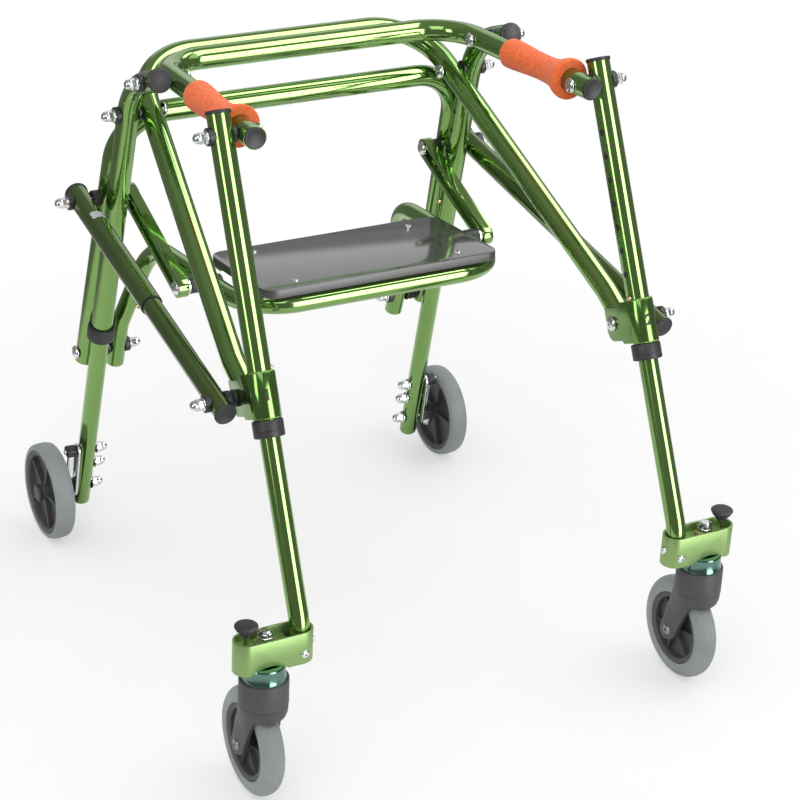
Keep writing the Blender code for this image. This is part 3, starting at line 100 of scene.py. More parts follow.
# Handle bar, diagonal brace and side braces
PIVOT_PITCH = 0.0280
HANDLE_BACK_Y, HANDLE_PAST_PIVOT, HANDLE_BEND_R = 0.1687, 0.0225, 0.057
DIAGONAL_BEHIND, DIAGONAL_PAST_KNUCKLE, DIAGONAL_BEND_R = 0.0814, 0.0140, 0.078
DIAGONAL_EASE, DIAGONAL_EASE_R = 0.045, 0.060
GRIP_FROM_PIVOT, GRIP_LENGTH = 0.0175, 0.1205
BRACE_PIVOT_Z, BRACE_OUT_REAR, BRACE_OUT_FRONT = 0.4745, 0.0335, 0.0370
BRACE_PAST_PIVOT, BRACE_PAST_KNUCKLE, BRACE_MOUTH, BRACE_BUTTON_AT = 0.0150, 0.0215, 0.225, 0.211
BRACE_BUTTON_TURN, BRACE_INNER_FROM, KNUCKLE_PLAY = radians(50), 0.080, 0.0023
LABEL_FACING, LABEL_ENDS = Vector((-0.62, -0.45, 0.62)), (0.0455, 0.0585)

# Seat
SEAT_PIVOT_Z, SEAT_PIVOT_INBOARD, SEAT_TAIL, SEAT_EASE, SEAT_EASE_R = 0.2550, 0.0396, 0.026, 0.035, 0.060
SEAT_TILT, SEAT_FRONT_Y, SEAT_FRONT_Z, SEAT_HALF, SEAT_FRONT_BEND_R = 0.106, -0.0325, 0.4288, 0.160, 0.060
SEAT_BACK_X, SEAT_BACK_Y, SEAT_BACK_BEND_R = 0.1655, 0.2340, 0.062
BOARD_HALF, BOARD_FRONT_Y, BOARD_BACK_Y, BOARD_THICK, BOARD_CORNER_R = 0.148, -0.0445, 0.1105, 0.010, 0.017
BOARD_BOLTS_X = (0.1030, 0.1007)
STRAP_ROWS, STRAP_WIDTH, STRAP_TOP, STRAP_THICK, STRAP_REACH = (-0.0232, 0.0890), 0.0200, 0.0124, 0.0030, 0.1470
LINK_LOW_Y, LINK_WIDTH, LINK_DEPTH, LINK_WALL, LINK_GROOVE = 0.0770, 0.0235, 0.0118, 0.0062, 0.0040
LINK_INNER_X, LINK_TRAVEL, LINK_SLOT_R = 0.1915, 0.0680, 0.0047

# Casters
CASTER_X, CASTER_TRAIL, NECK_R, NECK_TOP = 0.2735, 0.0220, 0.0265, 0.1548
FORK_INNER, FORK_PLATE, FORK_BOSS_R = 0.0142, 0.0055, 0.0145
ARM_BOTTOM, ARM_TOP, ARM_OUTER_X, ARM_R, ARM_WALL = 0.1680, 0.2050, 0.3090, 0.0148, 0.0027
ARM_PLATE_TOP, CUP_TOP, CUP_R = 0.1955, 0.1730, 0.0262
STEM_R, STEM_TOP, ARM_RISE = 0.0060, 0.2113, 0.0070
KNOB_X, KNOB_R, KNOB_TOP, KNOB_PIN_R, KNOB_PIN_LOW = 0.2950, 0.0125, 0.2236, 0.0028, 0.1780

TUBE_SIDES, BEND_STEP = 40, radians(4.5)


# Node trees, written as expressions


class Value:
    """A socket in a tree; arithmetic on it adds Math nodes."""

    def __init__(self, tree, socket):
        self.tree, self.socket = tree, socket

    def math(self, operation, *values):
        return self.tree.node("ShaderNodeMath", {"operation": operation}, dict(enumerate(values)))

    def output(self, key):
        return Value(self.tree, self.socket.node.outputs[key])

    def __add__(self, other):
        return self.math("ADD", self, other)

    def __sub__(self, other):
        return self.math("SUBTRACT", self, other)

    def __rsub__(self, other):
        return self.math("SUBTRACT", other, self)

    def __mul__(self, other):
        return self.math("MULTIPLY", self, other)

    def __truediv__(self, other):
        return self.math("DIVIDE", self, other)

    def __pow__(self, other):
        return self.math("POWER", self, other)

    __radd__, __rmul__ = __add__, __mul__

    def step(self, low, high):
        """0 below low, 1 above high, smooth between."""
        settings = {"interpolation_type": "SMOOTHSTEP"}
        return self.tree.node("ShaderNodeMapRange", settings, {0: self, 1: low, 2: high})


class Tree:
    """A node tree to which every node is added by one method."""

    def __init__(self, tree):
        self.tree = tree
        tree.nodes.clear()

    def node(self, kind, settings={}, inputs={}, out=0):
        made = self.tree.nodes.new(kind)
        for name, value in settings.items():
            setattr(made, name, value)
        for key, value in inputs.items():
            if isinstance(value, Value):
                self.tree.links.new(value.socket, made.inputs[key])
            else:
                made.inputs[key].default_value = value
        return Value(self, made.outputs[out]) if made.outputs else made


class Finish(Tree):
    """A material; what varies over the surface feeds only sockets that can be baked."""

    def __init__(self, name):
        self.material = bpy.data.materials.new(name)
        self.material.use_nodes = True
        super().__init__(self.material.node_tree)
        self.place = self.node("ShaderNodeTexCoord").output("Object")

    def noise(self, scale, detail=2.0, place=None):
        inputs = {"Vector": place or self.place, "Scale": scale, "Detail": detail}
        return self.node("ShaderNodeTexNoise", {}, inputs)

    def cells(self, scale):
        """Distance to the nearest cell centre."""
        return self.node("ShaderNodeTexVoronoi", {}, {"Vector": self.place, "Scale": scale})

    def mix(self, factor, first, second):
        inputs = {0: factor, 6: rgba(first), 7: rgba(second)}
        return self.node("ShaderNodeMix", {"data_type": "RGBA"}, inputs, out=2)

    def stretched(self, place, scales):
        return self.node("ShaderNodeMapping", {}, {"Vector": place, "Scale": scales})

    def bump(self, height, distance, strength):
        inputs = {"Height": height, "Distance": distance, "Strength": strength}
        return self.node("ShaderNodeBump", {}, inputs)

    def done(self, **sockets):
        """Ends the material in one shader; names have _ for a space."""
        inputs = {name.replace("_", " "): value for name, value in sockets.items()}
        if isinstance(inputs["Base Color"], tuple):
            inputs["Base Color"] = rgba(inputs["Base Color"])
        shader = self.node("ShaderNodeBsdfPrincipled", {}, inputs)
        self.node("ShaderNodeOutputMaterial", {}, {"Surface": shader})
        return self.material


def rgba(colour):
    return colour if isinstance(colour, Value) else (*colour[:3], 1.0)


def along_tube(made):
    """Place on a swept tube: its section in x and y, and the length run in z."""
    section = made.node("ShaderNodeAttribute", {"attribute_name": "section"}).output("Vector")
    run = made.node("ShaderNodeAttribute", {"attribute_name": "run"}).output("Fac")
    parts = made.node("ShaderNodeSeparateXYZ", {}, {0: section})
    return made.node("ShaderNodeCombineXYZ", {}, {0: parts, 1: parts.output(1), 2: run})


def anodised(name, deep, bright, roughness, coat=0.5):
    """Dyed anodised tube: drawn lines along it, cloudy dye and a clear sealed layer."""
    made = Finish(name)
    lines = made.noise(1.0, 3.0, made.stretched(along_tube(made), (900, 900, 9)))
    cloud = made.noise(14.0, 3.0)
    grain = made.noise(420.0, 2.0)
    colour = made.mix(cloud.step(0.3, 0.7), deep, bright)
    colour = made.mix(lines.step(0.35, 0.75) * 0.2, colour, [c * 0.85 for c in bright])
    rough = roughness + (lines - 0.5) * 0.07 + (cloud - 0.5) * 0.05
    bump = made.bump(lines * 0.6 + grain * 0.25, 0.00003, 0.25)
    return made.done(Base_Color=colour, Roughness=rough, Metallic=0.92, Normal=bump,
                     Coat_Weight=coat, Coat_Roughness=0.07)


def satin_plate(name):
    """Cast and machined arm, dyed with the tubes but matt."""
    made = Finish(name)
    cloud, grain = made.noise(24.0, 4.0), made.noise(900.0, 2.0)
    colour = made.mix(cloud.step(0.3, 0.7), (0.250, 0.395, 0.142), (0.275, 0.420, 0.158))
    colour = made.mix(grain.step(0.55, 0.8) * 0.2, colour, (0.32, 0.47, 0.20))
    rough = 0.40 + (grain - 0.5) * 0.2
    return made.done(Base_Color=colour, Roughness=rough, Metallic=0.72, Normal=made.bump(grain, 0.00008, 0.4))


def moulded(name, colour, roughness, grain_scale=1100.0, depth=0.00012, dust=0.35):
    """Moulded plastic with a fine sparked grain and a little dust."""
    made = Finish(name)
    cloud, grain = made.noise(30.0, 4.0), made.noise(grain_scale, 2.0)
    lighter = [min(1.0, c * 1.5 + 0.012) for c in colour]
    base = made.mix(cloud.step(0.42, 0.75) * dust, colour, lighter)
    base = made.mix(grain.step(0.6, 0.8) * 0.3, base, lighter)
    rough = roughness + (cloud - 0.5) * 0.15
    return made.done(Base_Color=base, Roughness=rough, Normal=made.bump(grain, depth, 0.5))


def plated(name, colour, roughness):
    """Bright plated steel with faint polishing marks."""
    made = Finish(name)
    cloud = made.noise(60.0, 3.0)
    marks = made.noise(1.0, 2.0, made.stretched(made.place, (300, 2400, 2400)))
    base = made.mix(cloud.step(0.35, 0.7) * 0.5, colour, [c * 0.8 for c in colour])
    rough = roughness + cloud * 0.08 + marks.step(0.5, 0.8) * 0.06
    return made.done(Base_Color=base, Roughness=rough, Metallic=1.0, Normal=made.bump(marks, 0.00003, 0.3))


def grip_foam(name):
    """Closed-cell foam, orange, with painted shade darkening the open cells at its skin."""
    made = Finish(name)
    cells, mottle, fine = made.cells(620.0), made.noise(260.0, 4.0), made.noise(70.0, 3.0)
    pits = cells.step(0.15, 0.6)
    colour = made.mix(mottle.step(0.36, 0.66), (0.90, 0.140, 0.026), (1.0, 0.195, 0.044))
    colour = made.mix(fine.step(0.4, 0.75) * 0.35, colour, (0.96, 0.24, 0.075))
    # Painted shade: the foam goes darker where the cells sink in.
    colour = made.mix((1 - pits) * 0.45, colour, (0.45, 0.045, 0.012))
    bump, rough = made.bump(pits * 0.5 + mottle * 0.8, 0.0005, 0.6), 0.78 + (mottle - 0.5) * 0.2
    return made.done(Base_Color=colour, Roughness=rough, Normal=bump, Sheen_Weight=0.15)


def tyre_rubber(name):
    """Pale grey polyurethane tread with faint scuffs."""
    made = Finish(name)
    cloud, scuff, grain = made.noise(22.0, 4.0), made.noise(130.0, 5.0), made.noise(1500.0, 2.0)
    colour = made.mix(cloud.step(0.3, 0.7), (0.240, 0.262, 0.268), (0.292, 0.316, 0.322))
    colour = made.mix(scuff.step(0.58, 0.78) * 0.35, colour, (0.37, 0.39, 0.395))
    rough = 0.52 + (scuff - 0.5) * 0.25
    return made.done(Base_Color=colour, Roughness=rough, Normal=made.bump(grain, 0.0001, 0.35))


def seat_board_finish(name):
    """Board with a polished face, dull dark edges and fine rubbed marks."""
    made = Finish(name)
    normal = made.node("ShaderNodeNewGeometry").output("Normal")
    up = made.node("ShaderNodeSeparateXYZ", {}, {0: normal}).output(2)
    face = up.step(0.7, 0.95)
    rub = made.noise(1.0, 4.0, made.stretched(made.place, (18, 160, 160)))
    cloud, grain = made.noise(16.0, 3.0), made.noise(1300.0, 2.0)
    top = made.mix(cloud.step(0.3, 0.7), (0.068, 0.068, 0.070), (0.082, 0.082, 0.084))
    colour = made.mix(face, (0.026, 0.025, 0.026), top)
    colour = made.mix(rub.step(0.62, 0.8) * face * 0.2, colour, (0.12, 0.12, 0.125))
    rough = 0.5 - face * 0.38 + rub.step(0.5, 0.8) * 0.05
    bump = made.bump(grain * (1 - face * 0.92), 0.0001, 0.5)
    return made.done(Base_Color=colour, Roughness=rough, Normal=bump,
                     Coat_Weight=face * 0.35, Coat_Roughness=0.05, IOR=2.0)


GREEN = anodised("green_anodised_tube", (0.188, 0.350, 0.086), (0.212, 0.380, 0.104), 0.10)
WELD = anodised("green_weld_bead", (0.20, 0.37, 0.10), (0.27, 0.45, 0.14), 0.24, coat=0.3)
# Darker copy of the tube green: painted shade on the knuckle brackets, which sit among the tubes.
BRACKET = anodised("green_bracket", (0.125, 0.260, 0.058), (0.155, 0.300, 0.074), 0.16, coat=0.2)
BRACE = anodised("green_brace_tube", (0.115, 0.200, 0.050), (0.135, 0.225, 0.060), 0.12)
SATIN = satin_plate("green_satin_arm")
BLACK = moulded("black_moulded_plastic", (0.026, 0.026, 0.029), 0.46)
DARK = moulded("dark_grey_fork_plastic", (0.060, 0.057, 0.063), 0.52, 800.0, 0.0002)
CHROME = plated("bright_plated_steel", (0.80, 0.81, 0.82), 0.09)
# Zinc far darker than bright plating: painted shade for the dark reflections under the caster arm.
ZINC = plated("blue_zinc_cup", (0.13, 0.24, 0.20), 0.10)
DULL = plated("dull_axle_steel", (0.30, 0.30, 0.31), 0.28)
BRASS = plated("brass_button", (0.82, 0.58, 0.36), 0.2)
FOAM = grip_foam("orange_grip_foam")
TYRE = tyre_rubber("grey_tyre_rubber")
BOARD = seat_board_finish("grey_polished_board")
LABEL = moulded("silver_bare_label", (0.80, 0.81, 0.82), 0.34, 300.0, 0.00002, 0.2)
INK = moulded("black_number_ink", (0.012, 0.012, 0.012), 0.5)


# Mesh helpers: each returns a mesh whose place is in its points


def mesh_of(made):
    mesh = bpy.data.meshes.new("piece")
    made.to_mesh(mesh)
    made.free()
    return mesh


def lathe(profile, place=Matrix(), sides=TUBE_SIDES, ring=False):
    """Revolves (radius, height) points round Z. A ring profile closes on itself."""
    made = bmesh.new()
    rings = []
    for radius, height in profile:
        if radius < 1e-7:
            rings.append([made.verts.new((0, 0, height))])
            continue
        angles = [2 * pi * step / sides for step in range(sides)]
        rings.append([made.verts.new((radius * cos(a), radius * sin(a), height)) for a in angles])
    for low, high in zip(rings, rings[1:] + (rings[:1] if ring else [])):
        for i in range(sides):
            j = (i + 1) % sides
            corners = [low[i % len(low)], low[j % len(low)], high[j % len(high)], high[i % len(high)]]
            corners = list(dict.fromkeys(corners))
            if len(corners) > 2:
                made.faces.new(corners)
    bmesh.ops.recalc_face_normals(made, faces=made.faces)
    made.transform(place)
    return mesh_of(made)


def loft(sections):
    """A closed skin through rings of the same count of points."""
    made = bmesh.new()
    rings = [[made.verts.new(point) for point in section] for section in sections]
    for low, high in zip(rings, rings[1:]):
        for i in range(len(low)):
            j = (i + 1) % len(low)
            made.faces.new((low[i], low[j], high[j], high[i]))
    made.faces.new(rings[0])
    made.faces.new(rings[-1])
    bmesh.ops.recalc_face_normals(made, faces=made.faces)
    return mesh_of(made)


def prism(outline, low, high, place=Matrix()):
    """An outline in the XY plane of place, from height low to high."""
    return moved(loft([[(x, y, z) for x, y in outline] for z in (low, high)]), place)


def box(low, high, place=Matrix()):
    (x0, y0, z0), (x1, y1, z1) = low, high
    return prism([(x0, y0), (x1, y0), (x1, y1), (x0, y1)], z0, z1, place)


def moved(mesh, place):
    mesh.transform(place)
    return mesh


def mirrored(mesh):
    made = bmesh.new()
    made.from_mesh(mesh)
    bmesh.ops.scale(made, verts=made.verts, vec=(-1, 1, 1))
    bmesh.ops.reverse_faces(made, faces=made.faces)
    return mesh_of(made)


def joined(*meshes):
    made = bmesh.new()
    for mesh in meshes:
        made.from_mesh(mesh)
    return mesh_of(made)


def both(mesh):
    return joined(mesh, mirrored(mesh))


def evaluated(holder):
    """The object's mesh with its modifiers, as plain data; the object is removed."""
    bpy.context.view_layer.update()
    mesh = bpy.data.meshes.new_from_object(holder.evaluated_get(bpy.context.evaluated_depsgraph_get()))
    for modifier in list(holder.modifiers):
        holder.modifiers.remove(modifier)
    bpy.data.objects.remove(holder, do_unlink=True)
    return mesh


def held(data):
    holder = bpy.data.objects.new("holder", data)
    bpy.context.scene.collection.objects.link(holder)
    return holder


def cut(mesh, *cutters):
    holder, tools = held(mesh), [held(cutter) for cutter in cutters]
    for tool in tools:
        step = holder.modifiers.new("cut", "BOOLEAN")
        step.object, step.operation, step.solver = tool, "DIFFERENCE", "EXACT"
    result = evaluated(holder)
    for tool in tools:
        bpy.data.objects.remove(tool, do_unlink=True)
    return result


def eased(mesh, width, segments=2):
    """The mesh with its sharp edges rounded."""
    holder = held(mesh)
    step = holder.modifiers.new("ease", "BEVEL")
    step.width, step.segments, step.limit_method, step.angle_limit = width, segments, "ANGLE", radians(40)
    step.use_clamp_overlap = True
    return evaluated(holder)


def axes_at(point, x, y, z):
    return Matrix.Translation(point) @ Matrix((x, y, z)).transposed().to_4x4()


def aimed(start, direction):
    """A matrix at start whose Z runs along direction and whose X is near the world's X or Z."""
    z = direction.normalized()
    y = z.cross(ACROSS if abs(z.x) < 0.9 else AXIS_Z).normalized()
    return axes_at(start, y.cross(z), y, z)


def rounded_path(corners, radii):
    """Points along straight runs whose inner corners are arcs of the given radii."""
    points = [corners[0]]
    for before, corner, after, radius in zip(corners, corners[1:], corners[2:], radii):
        back, ahead = (before - corner).normalized(), (after - corner).normalized()
        turn = pi - back.angle(ahead)
        start = back * radius * tan(turn / 2)
        centre = (back + ahead).normalized() * radius / cos(turn / 2)
        axis, steps = back.cross(ahead), max(3, ceil(turn / BEND_STEP))
        for step in range(steps + 1):
            spin = Matrix.Rotation(-turn * step / steps, 3, axis)
            points.append(corner + centre + spin @ (start - centre))
    return points + [corners[-1]]


def quarter_turn(steps, first=1):
    """Angles up to a right angle, without 0 unless first is 0."""
    return [pi / 2 * step / steps for step in range(first, steps + 1)]


def arc(centre, radius, start, end, steps):
    angles = [radians(start + (end - start) * step / steps) for step in range(steps + 1)]
    return [(centre[0] + radius * cos(a), centre[1] + radius * sin(a)) for a in angles]


def stadium(x0, x1, radius, steps=14):
    return arc((x1 - radius, 0), radius, -90, 90, steps) + arc((x0 + radius, 0), radius, 90, 270, steps)


def rounded_box(half_x, half_y, radius, steps=10):
    x, y = half_x - radius, half_y - radius
    corners = zip(((x, y), (-x, y), (-x, -y), (x, -y)), (0, 90, 180, 270))
    return [point for centre, start in corners for point in arc(centre, radius, start, start + 90, steps)]


# Geometry node trees for tubes, hole rows, weld beads, fasteners and radial ribs


class GeometryTree(Tree):
    """A geometry node tree with named inputs, ended by Realize Instances and Set Material."""

    def __init__(self, name, inputs):
        super().__init__(bpy.data.node_groups.new(name, "GeometryNodeTree"))
        self.tree.is_modifier = True
        sockets = self.tree.interface
        sockets.new_socket("Geometry", in_out="INPUT", socket_type="NodeSocketGeometry")
        sockets.new_socket("Geometry", in_out="OUTPUT", socket_type="NodeSocketGeometry")
        self.keys = {}
        for label, kind in inputs:
            made = sockets.new_socket(label, in_out="INPUT", socket_type="NodeSocket" + kind)
            self.keys[label] = made.identifier
        self.given = self.node("NodeGroupInput")

    def get(self, label):
        return self.given.output(label)

    def end(self, geometry):
        whole = self.node("GeometryNodeRealizeInstances", {}, {0: geometry})
        smooth = self.node("GeometryNodeSetShadeSmooth", {}, {"Geometry": whole})
        looked = self.node("GeometryNodeSetMaterial", {}, {"Geometry": smooth, "Material": self.get("Material")})
        self.node("NodeGroupOutput", {}, {0: looked})

    def run(self, data, **values):
        """The tree's result on data (a curve or a mesh), as a plain mesh."""
        holder = held(data)
        step = holder.modifiers.new(self.tree.name, "NODES")
        step.node_group = self.tree
        for label, value in values.items():
            step[self.keys[label.replace("_", " ")]] = value
        return evaluated(holder)


def named(tree, geometry, kind, name, value):
    inputs = {"Geometry": geometry, "Name": name, "Value": value}
    return tree.node("GeometryNodeStoreNamedAttribute", {"data_type": kind, "domain": "POINT"}, inputs)


def sweep_tree():
    tree = GeometryTree("swept_tube", [("Radius", "Float"), ("Sides", "Int"), ("Material", "Material")])
    length = tree.node("GeometryNodeSplineParameter").output("Length")
    path = named(tree, tree.get("Geometry"), "FLOAT", "run", length)
    inputs = {"Resolution": tree.get("Sides"), "Radius": tree.get("Radius")}
    circle = tree.node("GeometryNodeCurvePrimitiveCircle", {}, inputs)
    section = named(tree, circle, "FLOAT_VECTOR", "section", tree.node("GeometryNodeInputPosition"))
    inputs = {"Curve": path, "Profile Curve": section, "Fill Caps": True}
    tree.end(tree.node("GeometryNodeCurveToMesh", {}, inputs))
    return tree


def hole_tree():
    """Cuts a row of round holes into one side of a tube."""
    inputs = [("First", "Vector"), ("Step", "Vector"), ("Count", "Int"), ("Turn", "Vector")]
    inputs += [("Radius", "Float"), ("Depth", "Float"), ("Material", "Material")]
    tree = GeometryTree("row_of_holes", inputs)
    inputs = {"Count": tree.get("Count"), "Start Location": tree.get("First"), "Offset": tree.get("Step")}
    row = tree.node("GeometryNodeMeshLine", {"mode": "OFFSET"}, inputs)
    inputs = {"Vertices": 20, "Radius": tree.get("Radius"), "Depth": tree.get("Depth")}
    drill = tree.node("GeometryNodeMeshCylinder", {}, inputs)
    turn = tree.node("FunctionNodeEulerToRotation", {}, {0: tree.get("Turn")})
    drills = tree.node("GeometryNodeInstanceOnPoints", {}, {"Points": row, "Instance": drill, "Rotation": turn})
    drills = tree.node("GeometryNodeRealizeInstances", {}, {0: drills})
    inputs = {"Mesh 1": tree.get("Geometry"), "Mesh 2": drills}
    tree.end(tree.node("GeometryNodeMeshBoolean", {"operation": "DIFFERENCE", "solver": "EXACT"}, inputs))
    return tree


def bead_tree():
    """Overlapping drops of weld along a path, each a little different."""
    inputs = [("Pitch", "Float"), ("Radius", "Float"), ("Seed", "Int"), ("Material", "Material")]
    tree = GeometryTree("weld_bead", inputs)
    inputs = {"Curve": tree.get("Geometry"), "Length": tree.get("Pitch")}
    points = tree.node("GeometryNodeCurveToPoints", {"mode": "LENGTH"}, inputs)
    drop = tree.node("GeometryNodeMeshIcoSphere", {}, {"Radius": tree.get("Radius"), "Subdivisions": 2})
    inputs = {0: (0.8, 0.8, 0.8), 1: (1.25, 1.25, 1.25), "Seed": tree.get("Seed")}
    size = tree.node("FunctionNodeRandomValue", {"data_type": "FLOAT_VECTOR"}, inputs)
    inputs = {"Points": points, "Instance": drop, "Scale": size}
    tree.end(tree.node("GeometryNodeInstanceOnPoints", {}, inputs))
    return tree


def scatter_tree():
    """One fastener at each point, turned by the point's own stored angles."""
    tree = GeometryTree("fasteners", [("Shape", "Object"), ("Material", "Material")])
    shape = tree.node("GeometryNodeObjectInfo", {}, {"Object": tree.get("Shape")}).output("Geometry")
    angles = tree.node("GeometryNodeInputNamedAttribute", {"data_type": "FLOAT_VECTOR"}, {"Name": "turn"})
    turn = tree.node("FunctionNodeEulerToRotation", {}, {0: angles})
    inputs = {"Points": tree.get("Geometry"), "Instance": shape, "Rotation": turn}
    tree.end(tree.node("GeometryNodeInstanceOnPoints", {}, inputs))
    return tree


def radial_tree():
    """Copies of a shape turned round Z in even steps."""
    tree = GeometryTree("radial_ribs", [("Count", "Int"), ("Start", "Float"), ("Material", "Material")])
    points = tree.node("GeometryNodePoints", {}, {"Count": tree.get("Count")})
    index = tree.node("GeometryNodeInputIndex")
    angle = index * (2 * pi) / tree.get("Count") + tree.get("Start")
    spin = tree.node("ShaderNodeCombineXYZ", {}, {2: angle})
    turn = tree.node("FunctionNodeEulerToRotation", {}, {0: spin})
    inputs = {"Points": points, "Instance": tree.get("Geometry"), "Rotation": turn}
    tree.end(tree.node("GeometryNodeInstanceOnPoints", {}, inputs))
    return tree


SWEEP, HOLES, BEADS, SCATTER, RADIAL = sweep_tree(), hole_tree(), bead_tree(), scatter_tree(), radial_tree()


def curve_of(points):
    curve = bpy.data.curves.new("path", "CURVE")
    curve.dimensions = "3D"
    spline = curve.splines.new("POLY")
    spline.points.add(len(points) - 1)
    for target, point in zip(spline.points, points):
        target.co = (*point, 1)
    return curve


def tube(points, radius, sides=TUBE_SIDES):
    return SWEEP.run(curve_of(points), Radius=radius, Sides=sides, Material=GREEN)


def drilled(mesh, first, step, count, direction, look=GREEN):
    """The tube with a row of holes on the side that direction names."""
    start, turn = first + direction * FRAME_R, tuple(direction.to_track_quat("Z", "Y").to_euler())
    return HOLES.run(mesh, First=start, Step=step, Count=count, Turn=turn,
                     Radius=HOLE_R, Depth=FRAME_R, Material=look)


def hole_shade_discs(first, step, count, direction):
    """Dark discs just inside a row of holes, painted shade in them, apart from the button's own at its start."""
    disc = lathe([(0, -0.0003), (HOLE_R, -0.0003), (HOLE_R, 0), (0, 0)], sides=20)
    depth = direction * (FRAME_R - 0.0008)
    return scattered(disc, [(first + step * k + depth, direction) for k in range(1, count)], BLACK)


def weld(points, radius, pitch, seed):
    return BEADS.run(curve_of(points), Pitch=pitch, Radius=radius, Seed=seed, Material=WELD)


def scattered(shape, places, look):
    """The shape at each (point, direction), its Z along the direction."""
    points = bpy.data.meshes.new("places")
    points.from_pydata([tuple(point) for point, _ in places], [], [])
    turn = points.attributes.new("turn", "FLOAT_VECTOR", "POINT")
    for item, (_, direction) in zip(turn.data, places):
        item.vector = Vector(direction).to_track_quat("Z", "Y").to_euler()
    holder = held(shape.copy())
    result = SCATTER.run(points, Shape=holder, Material=look)
    bpy.data.objects.remove(holder, do_unlink=True)
    return result


def radial(shape, count, look, place=Matrix(), start=0.0):
    return moved(RADIAL.run(shape, Count=count, Start=start, Material=look), place)


def opened(mesh, at, wall, depth):
    """Sinks a bore into the flat end of a tube that lies nearest to a point."""
    made = bmesh.new()
    made.from_mesh(mesh)
    ends = [face for face in made.faces if len(face.verts) > 8]
    end = min(ends, key=lambda face: (face.calc_center_median() - at).length)
    inward = end.normal * -depth
    bmesh.ops.inset_region(made, faces=[end], thickness=wall, use_even_offset=True)
    grown = bmesh.ops.extrude_face_region(made, geom=[end])
    verts = [item for item in grown["geom"] if isinstance(item, bmesh.types.BMVert)]
    bmesh.ops.translate(made, verts=verts, vec=inward)
    bmesh.ops.delete(made, geom=[end], context="FACES_ONLY")
    return mesh_of(made)


# Putting pieces in place


def piece(name, mesh, look, body, node=None, crease=radians(32)):
    """The mesh as a finished piece that rides on its body and stands for its CAD node."""
    mesh.name = name
    mesh.materials.clear()
    mesh.materials.append(look)
    mesh.shade_smooth()
    mesh.set_sharp_from_angle(angle=crease)
    made = bpy.data.objects.new(name, mesh)
    bpy.context.scene.collection.objects.link(made)
    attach(made, body)
    if node:
        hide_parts(node)


def pair(name, mesh, look, body, node=None, crease=radians(32)):
    """The same piece on both sides; body and node get the side's name unless they are shared."""
    for side, data in (("_right", mesh), ("_left", mirrored(mesh))):
        rides = body if body in frame["bodies"] else body + side
        piece(name + side, data, look, rides, node and node + side, crease)


# Centre lines, all on the x > 0 side


def rear_axis(z):
    rise = z - WHEEL_R
    return Vector((REAR_AXLE_X - REAR_SPLAY * rise, REAR_AXLE_Y - REAR_LEAN * rise, z))


def front_axis(z):
    rise = z - LEG_BEND_Z
    return Vector((LEG_BEND_X - FRONT_SPLAY * rise, CASTER_Y + FRONT_LEAN * rise, z))


def with_x(point, x):
    return Vector((x, point.y, point.z))


def bent_tube(half, radii, radius):
    """A tube with a bend on each side, from the corners of its x > 0 half."""
    other = [with_x(point, -point.x) for point in reversed(half)]
    return tube(rounded_path(half + other, radii + radii[::-1]), radius)


REAR_UP = (rear_axis(1) - rear_axis(0)).normalized()
FRONT_UP = (front_axis(1) - front_axis(0)).normalized()
REAR_BACK = REAR_UP.cross(ACROSS).normalized()
FRONT_BACK = FRONT_UP.cross(ACROSS).normalized()
HOOP_OFFSET = REAR_BACK * (2 * FRAME_R + HOOP_WELD_GAP)


def hoop_axis(z):
    behind = rear_axis(z - HOOP_OFFSET.z) + HOOP_OFFSET
    return with_x(behind, HOOP_LOW_X - HOOP_SPLAY * (z - HOOP_LOW_Z))


HOOP_UP = (hoop_axis(1) - hoop_axis(0)).normalized()
corner_z = (UPRIGHT_END_Z + STUB_SLOPE * (UPRIGHT_END_Y - rear_axis(0).y)) / (1 - STUB_SLOPE * REAR_LEAN)
UPRIGHT_CORNER = rear_axis(corner_z)
UPRIGHT_END = Vector((UPRIGHT_CORNER.x, UPRIGHT_END_Y, UPRIGHT_END_Z))
STUB_DIRECTION = (UPRIGHT_END - UPRIGHT_CORNER).normalized()
bend_reach = UPRIGHT_BEND_R * tan(REAR_UP.angle(STUB_DIRECTION) / 2)
UPRIGHT_PATH = rounded_path([rear_axis(UPRIGHT_BOTTOM), UPRIGHT_CORNER, UPRIGHT_END], [UPRIGHT_BEND_R])

FRONT_BUTTON = front_axis(FRONT_BUTTON_Z)
FRONT_HOLE_SIDE = (Matrix.Rotation(FRONT_HOLE_TURN, 3, FRONT_UP) @ -ACROSS).normalized()
KNUCKLE = front_axis(BRACKET_MID_Z) + FRONT_BACK * EAR_OFFSET
HANDLE_FRONT_PIVOT = front_axis(HANDLE_PIVOT_Z)
HANDLE_REAR_PIVOT = UPRIGHT_END - STUB_DIRECTION * HANDLE_PIVOT_SETBACK
DIAGONAL_PIVOT = UPRIGHT_CORNER - REAR_UP * (bend_reach - DIAGONAL_BELOW_BEND)
SEAT_PIVOT_LEG = hoop_axis(SEAT_PIVOT_Z)
LINK_PIN = hoop_axis(BRACE_PIVOT_Z)

HANDLE_REAR = HANDLE_REAR_PIVOT - ACROSS * PIVOT_PITCH
HANDLE_FRONT = HANDLE_FRONT_PIVOT - ACROSS * PIVOT_PITCH
HANDLE_DIRECTION = (HANDLE_FRONT - HANDLE_REAR).normalized()
HANDLE_CORNER = HANDLE_REAR - HANDLE_DIRECTION * ((HANDLE_BACK_Y - HANDLE_REAR.y) / -HANDLE_DIRECTION.y)

DIAGONAL_HOLE = DIAGONAL_PIVOT - ACROSS * PIVOT_PITCH
DIAGONAL_DOWN = (with_x(KNUCKLE, 0) - with_x(DIAGONAL_HOLE, 0)).normalized()
DIAGONAL_BEND = KNUCKLE - DIAGONAL_DOWN * DIAGONAL_EASE
DIAGONAL_FLARE = (DIAGONAL_BEND - DIAGONAL_HOLE).normalized()
DIAGONAL_CORNER = DIAGONAL_HOLE - DIAGONAL_FLARE * DIAGONAL_BEHIND

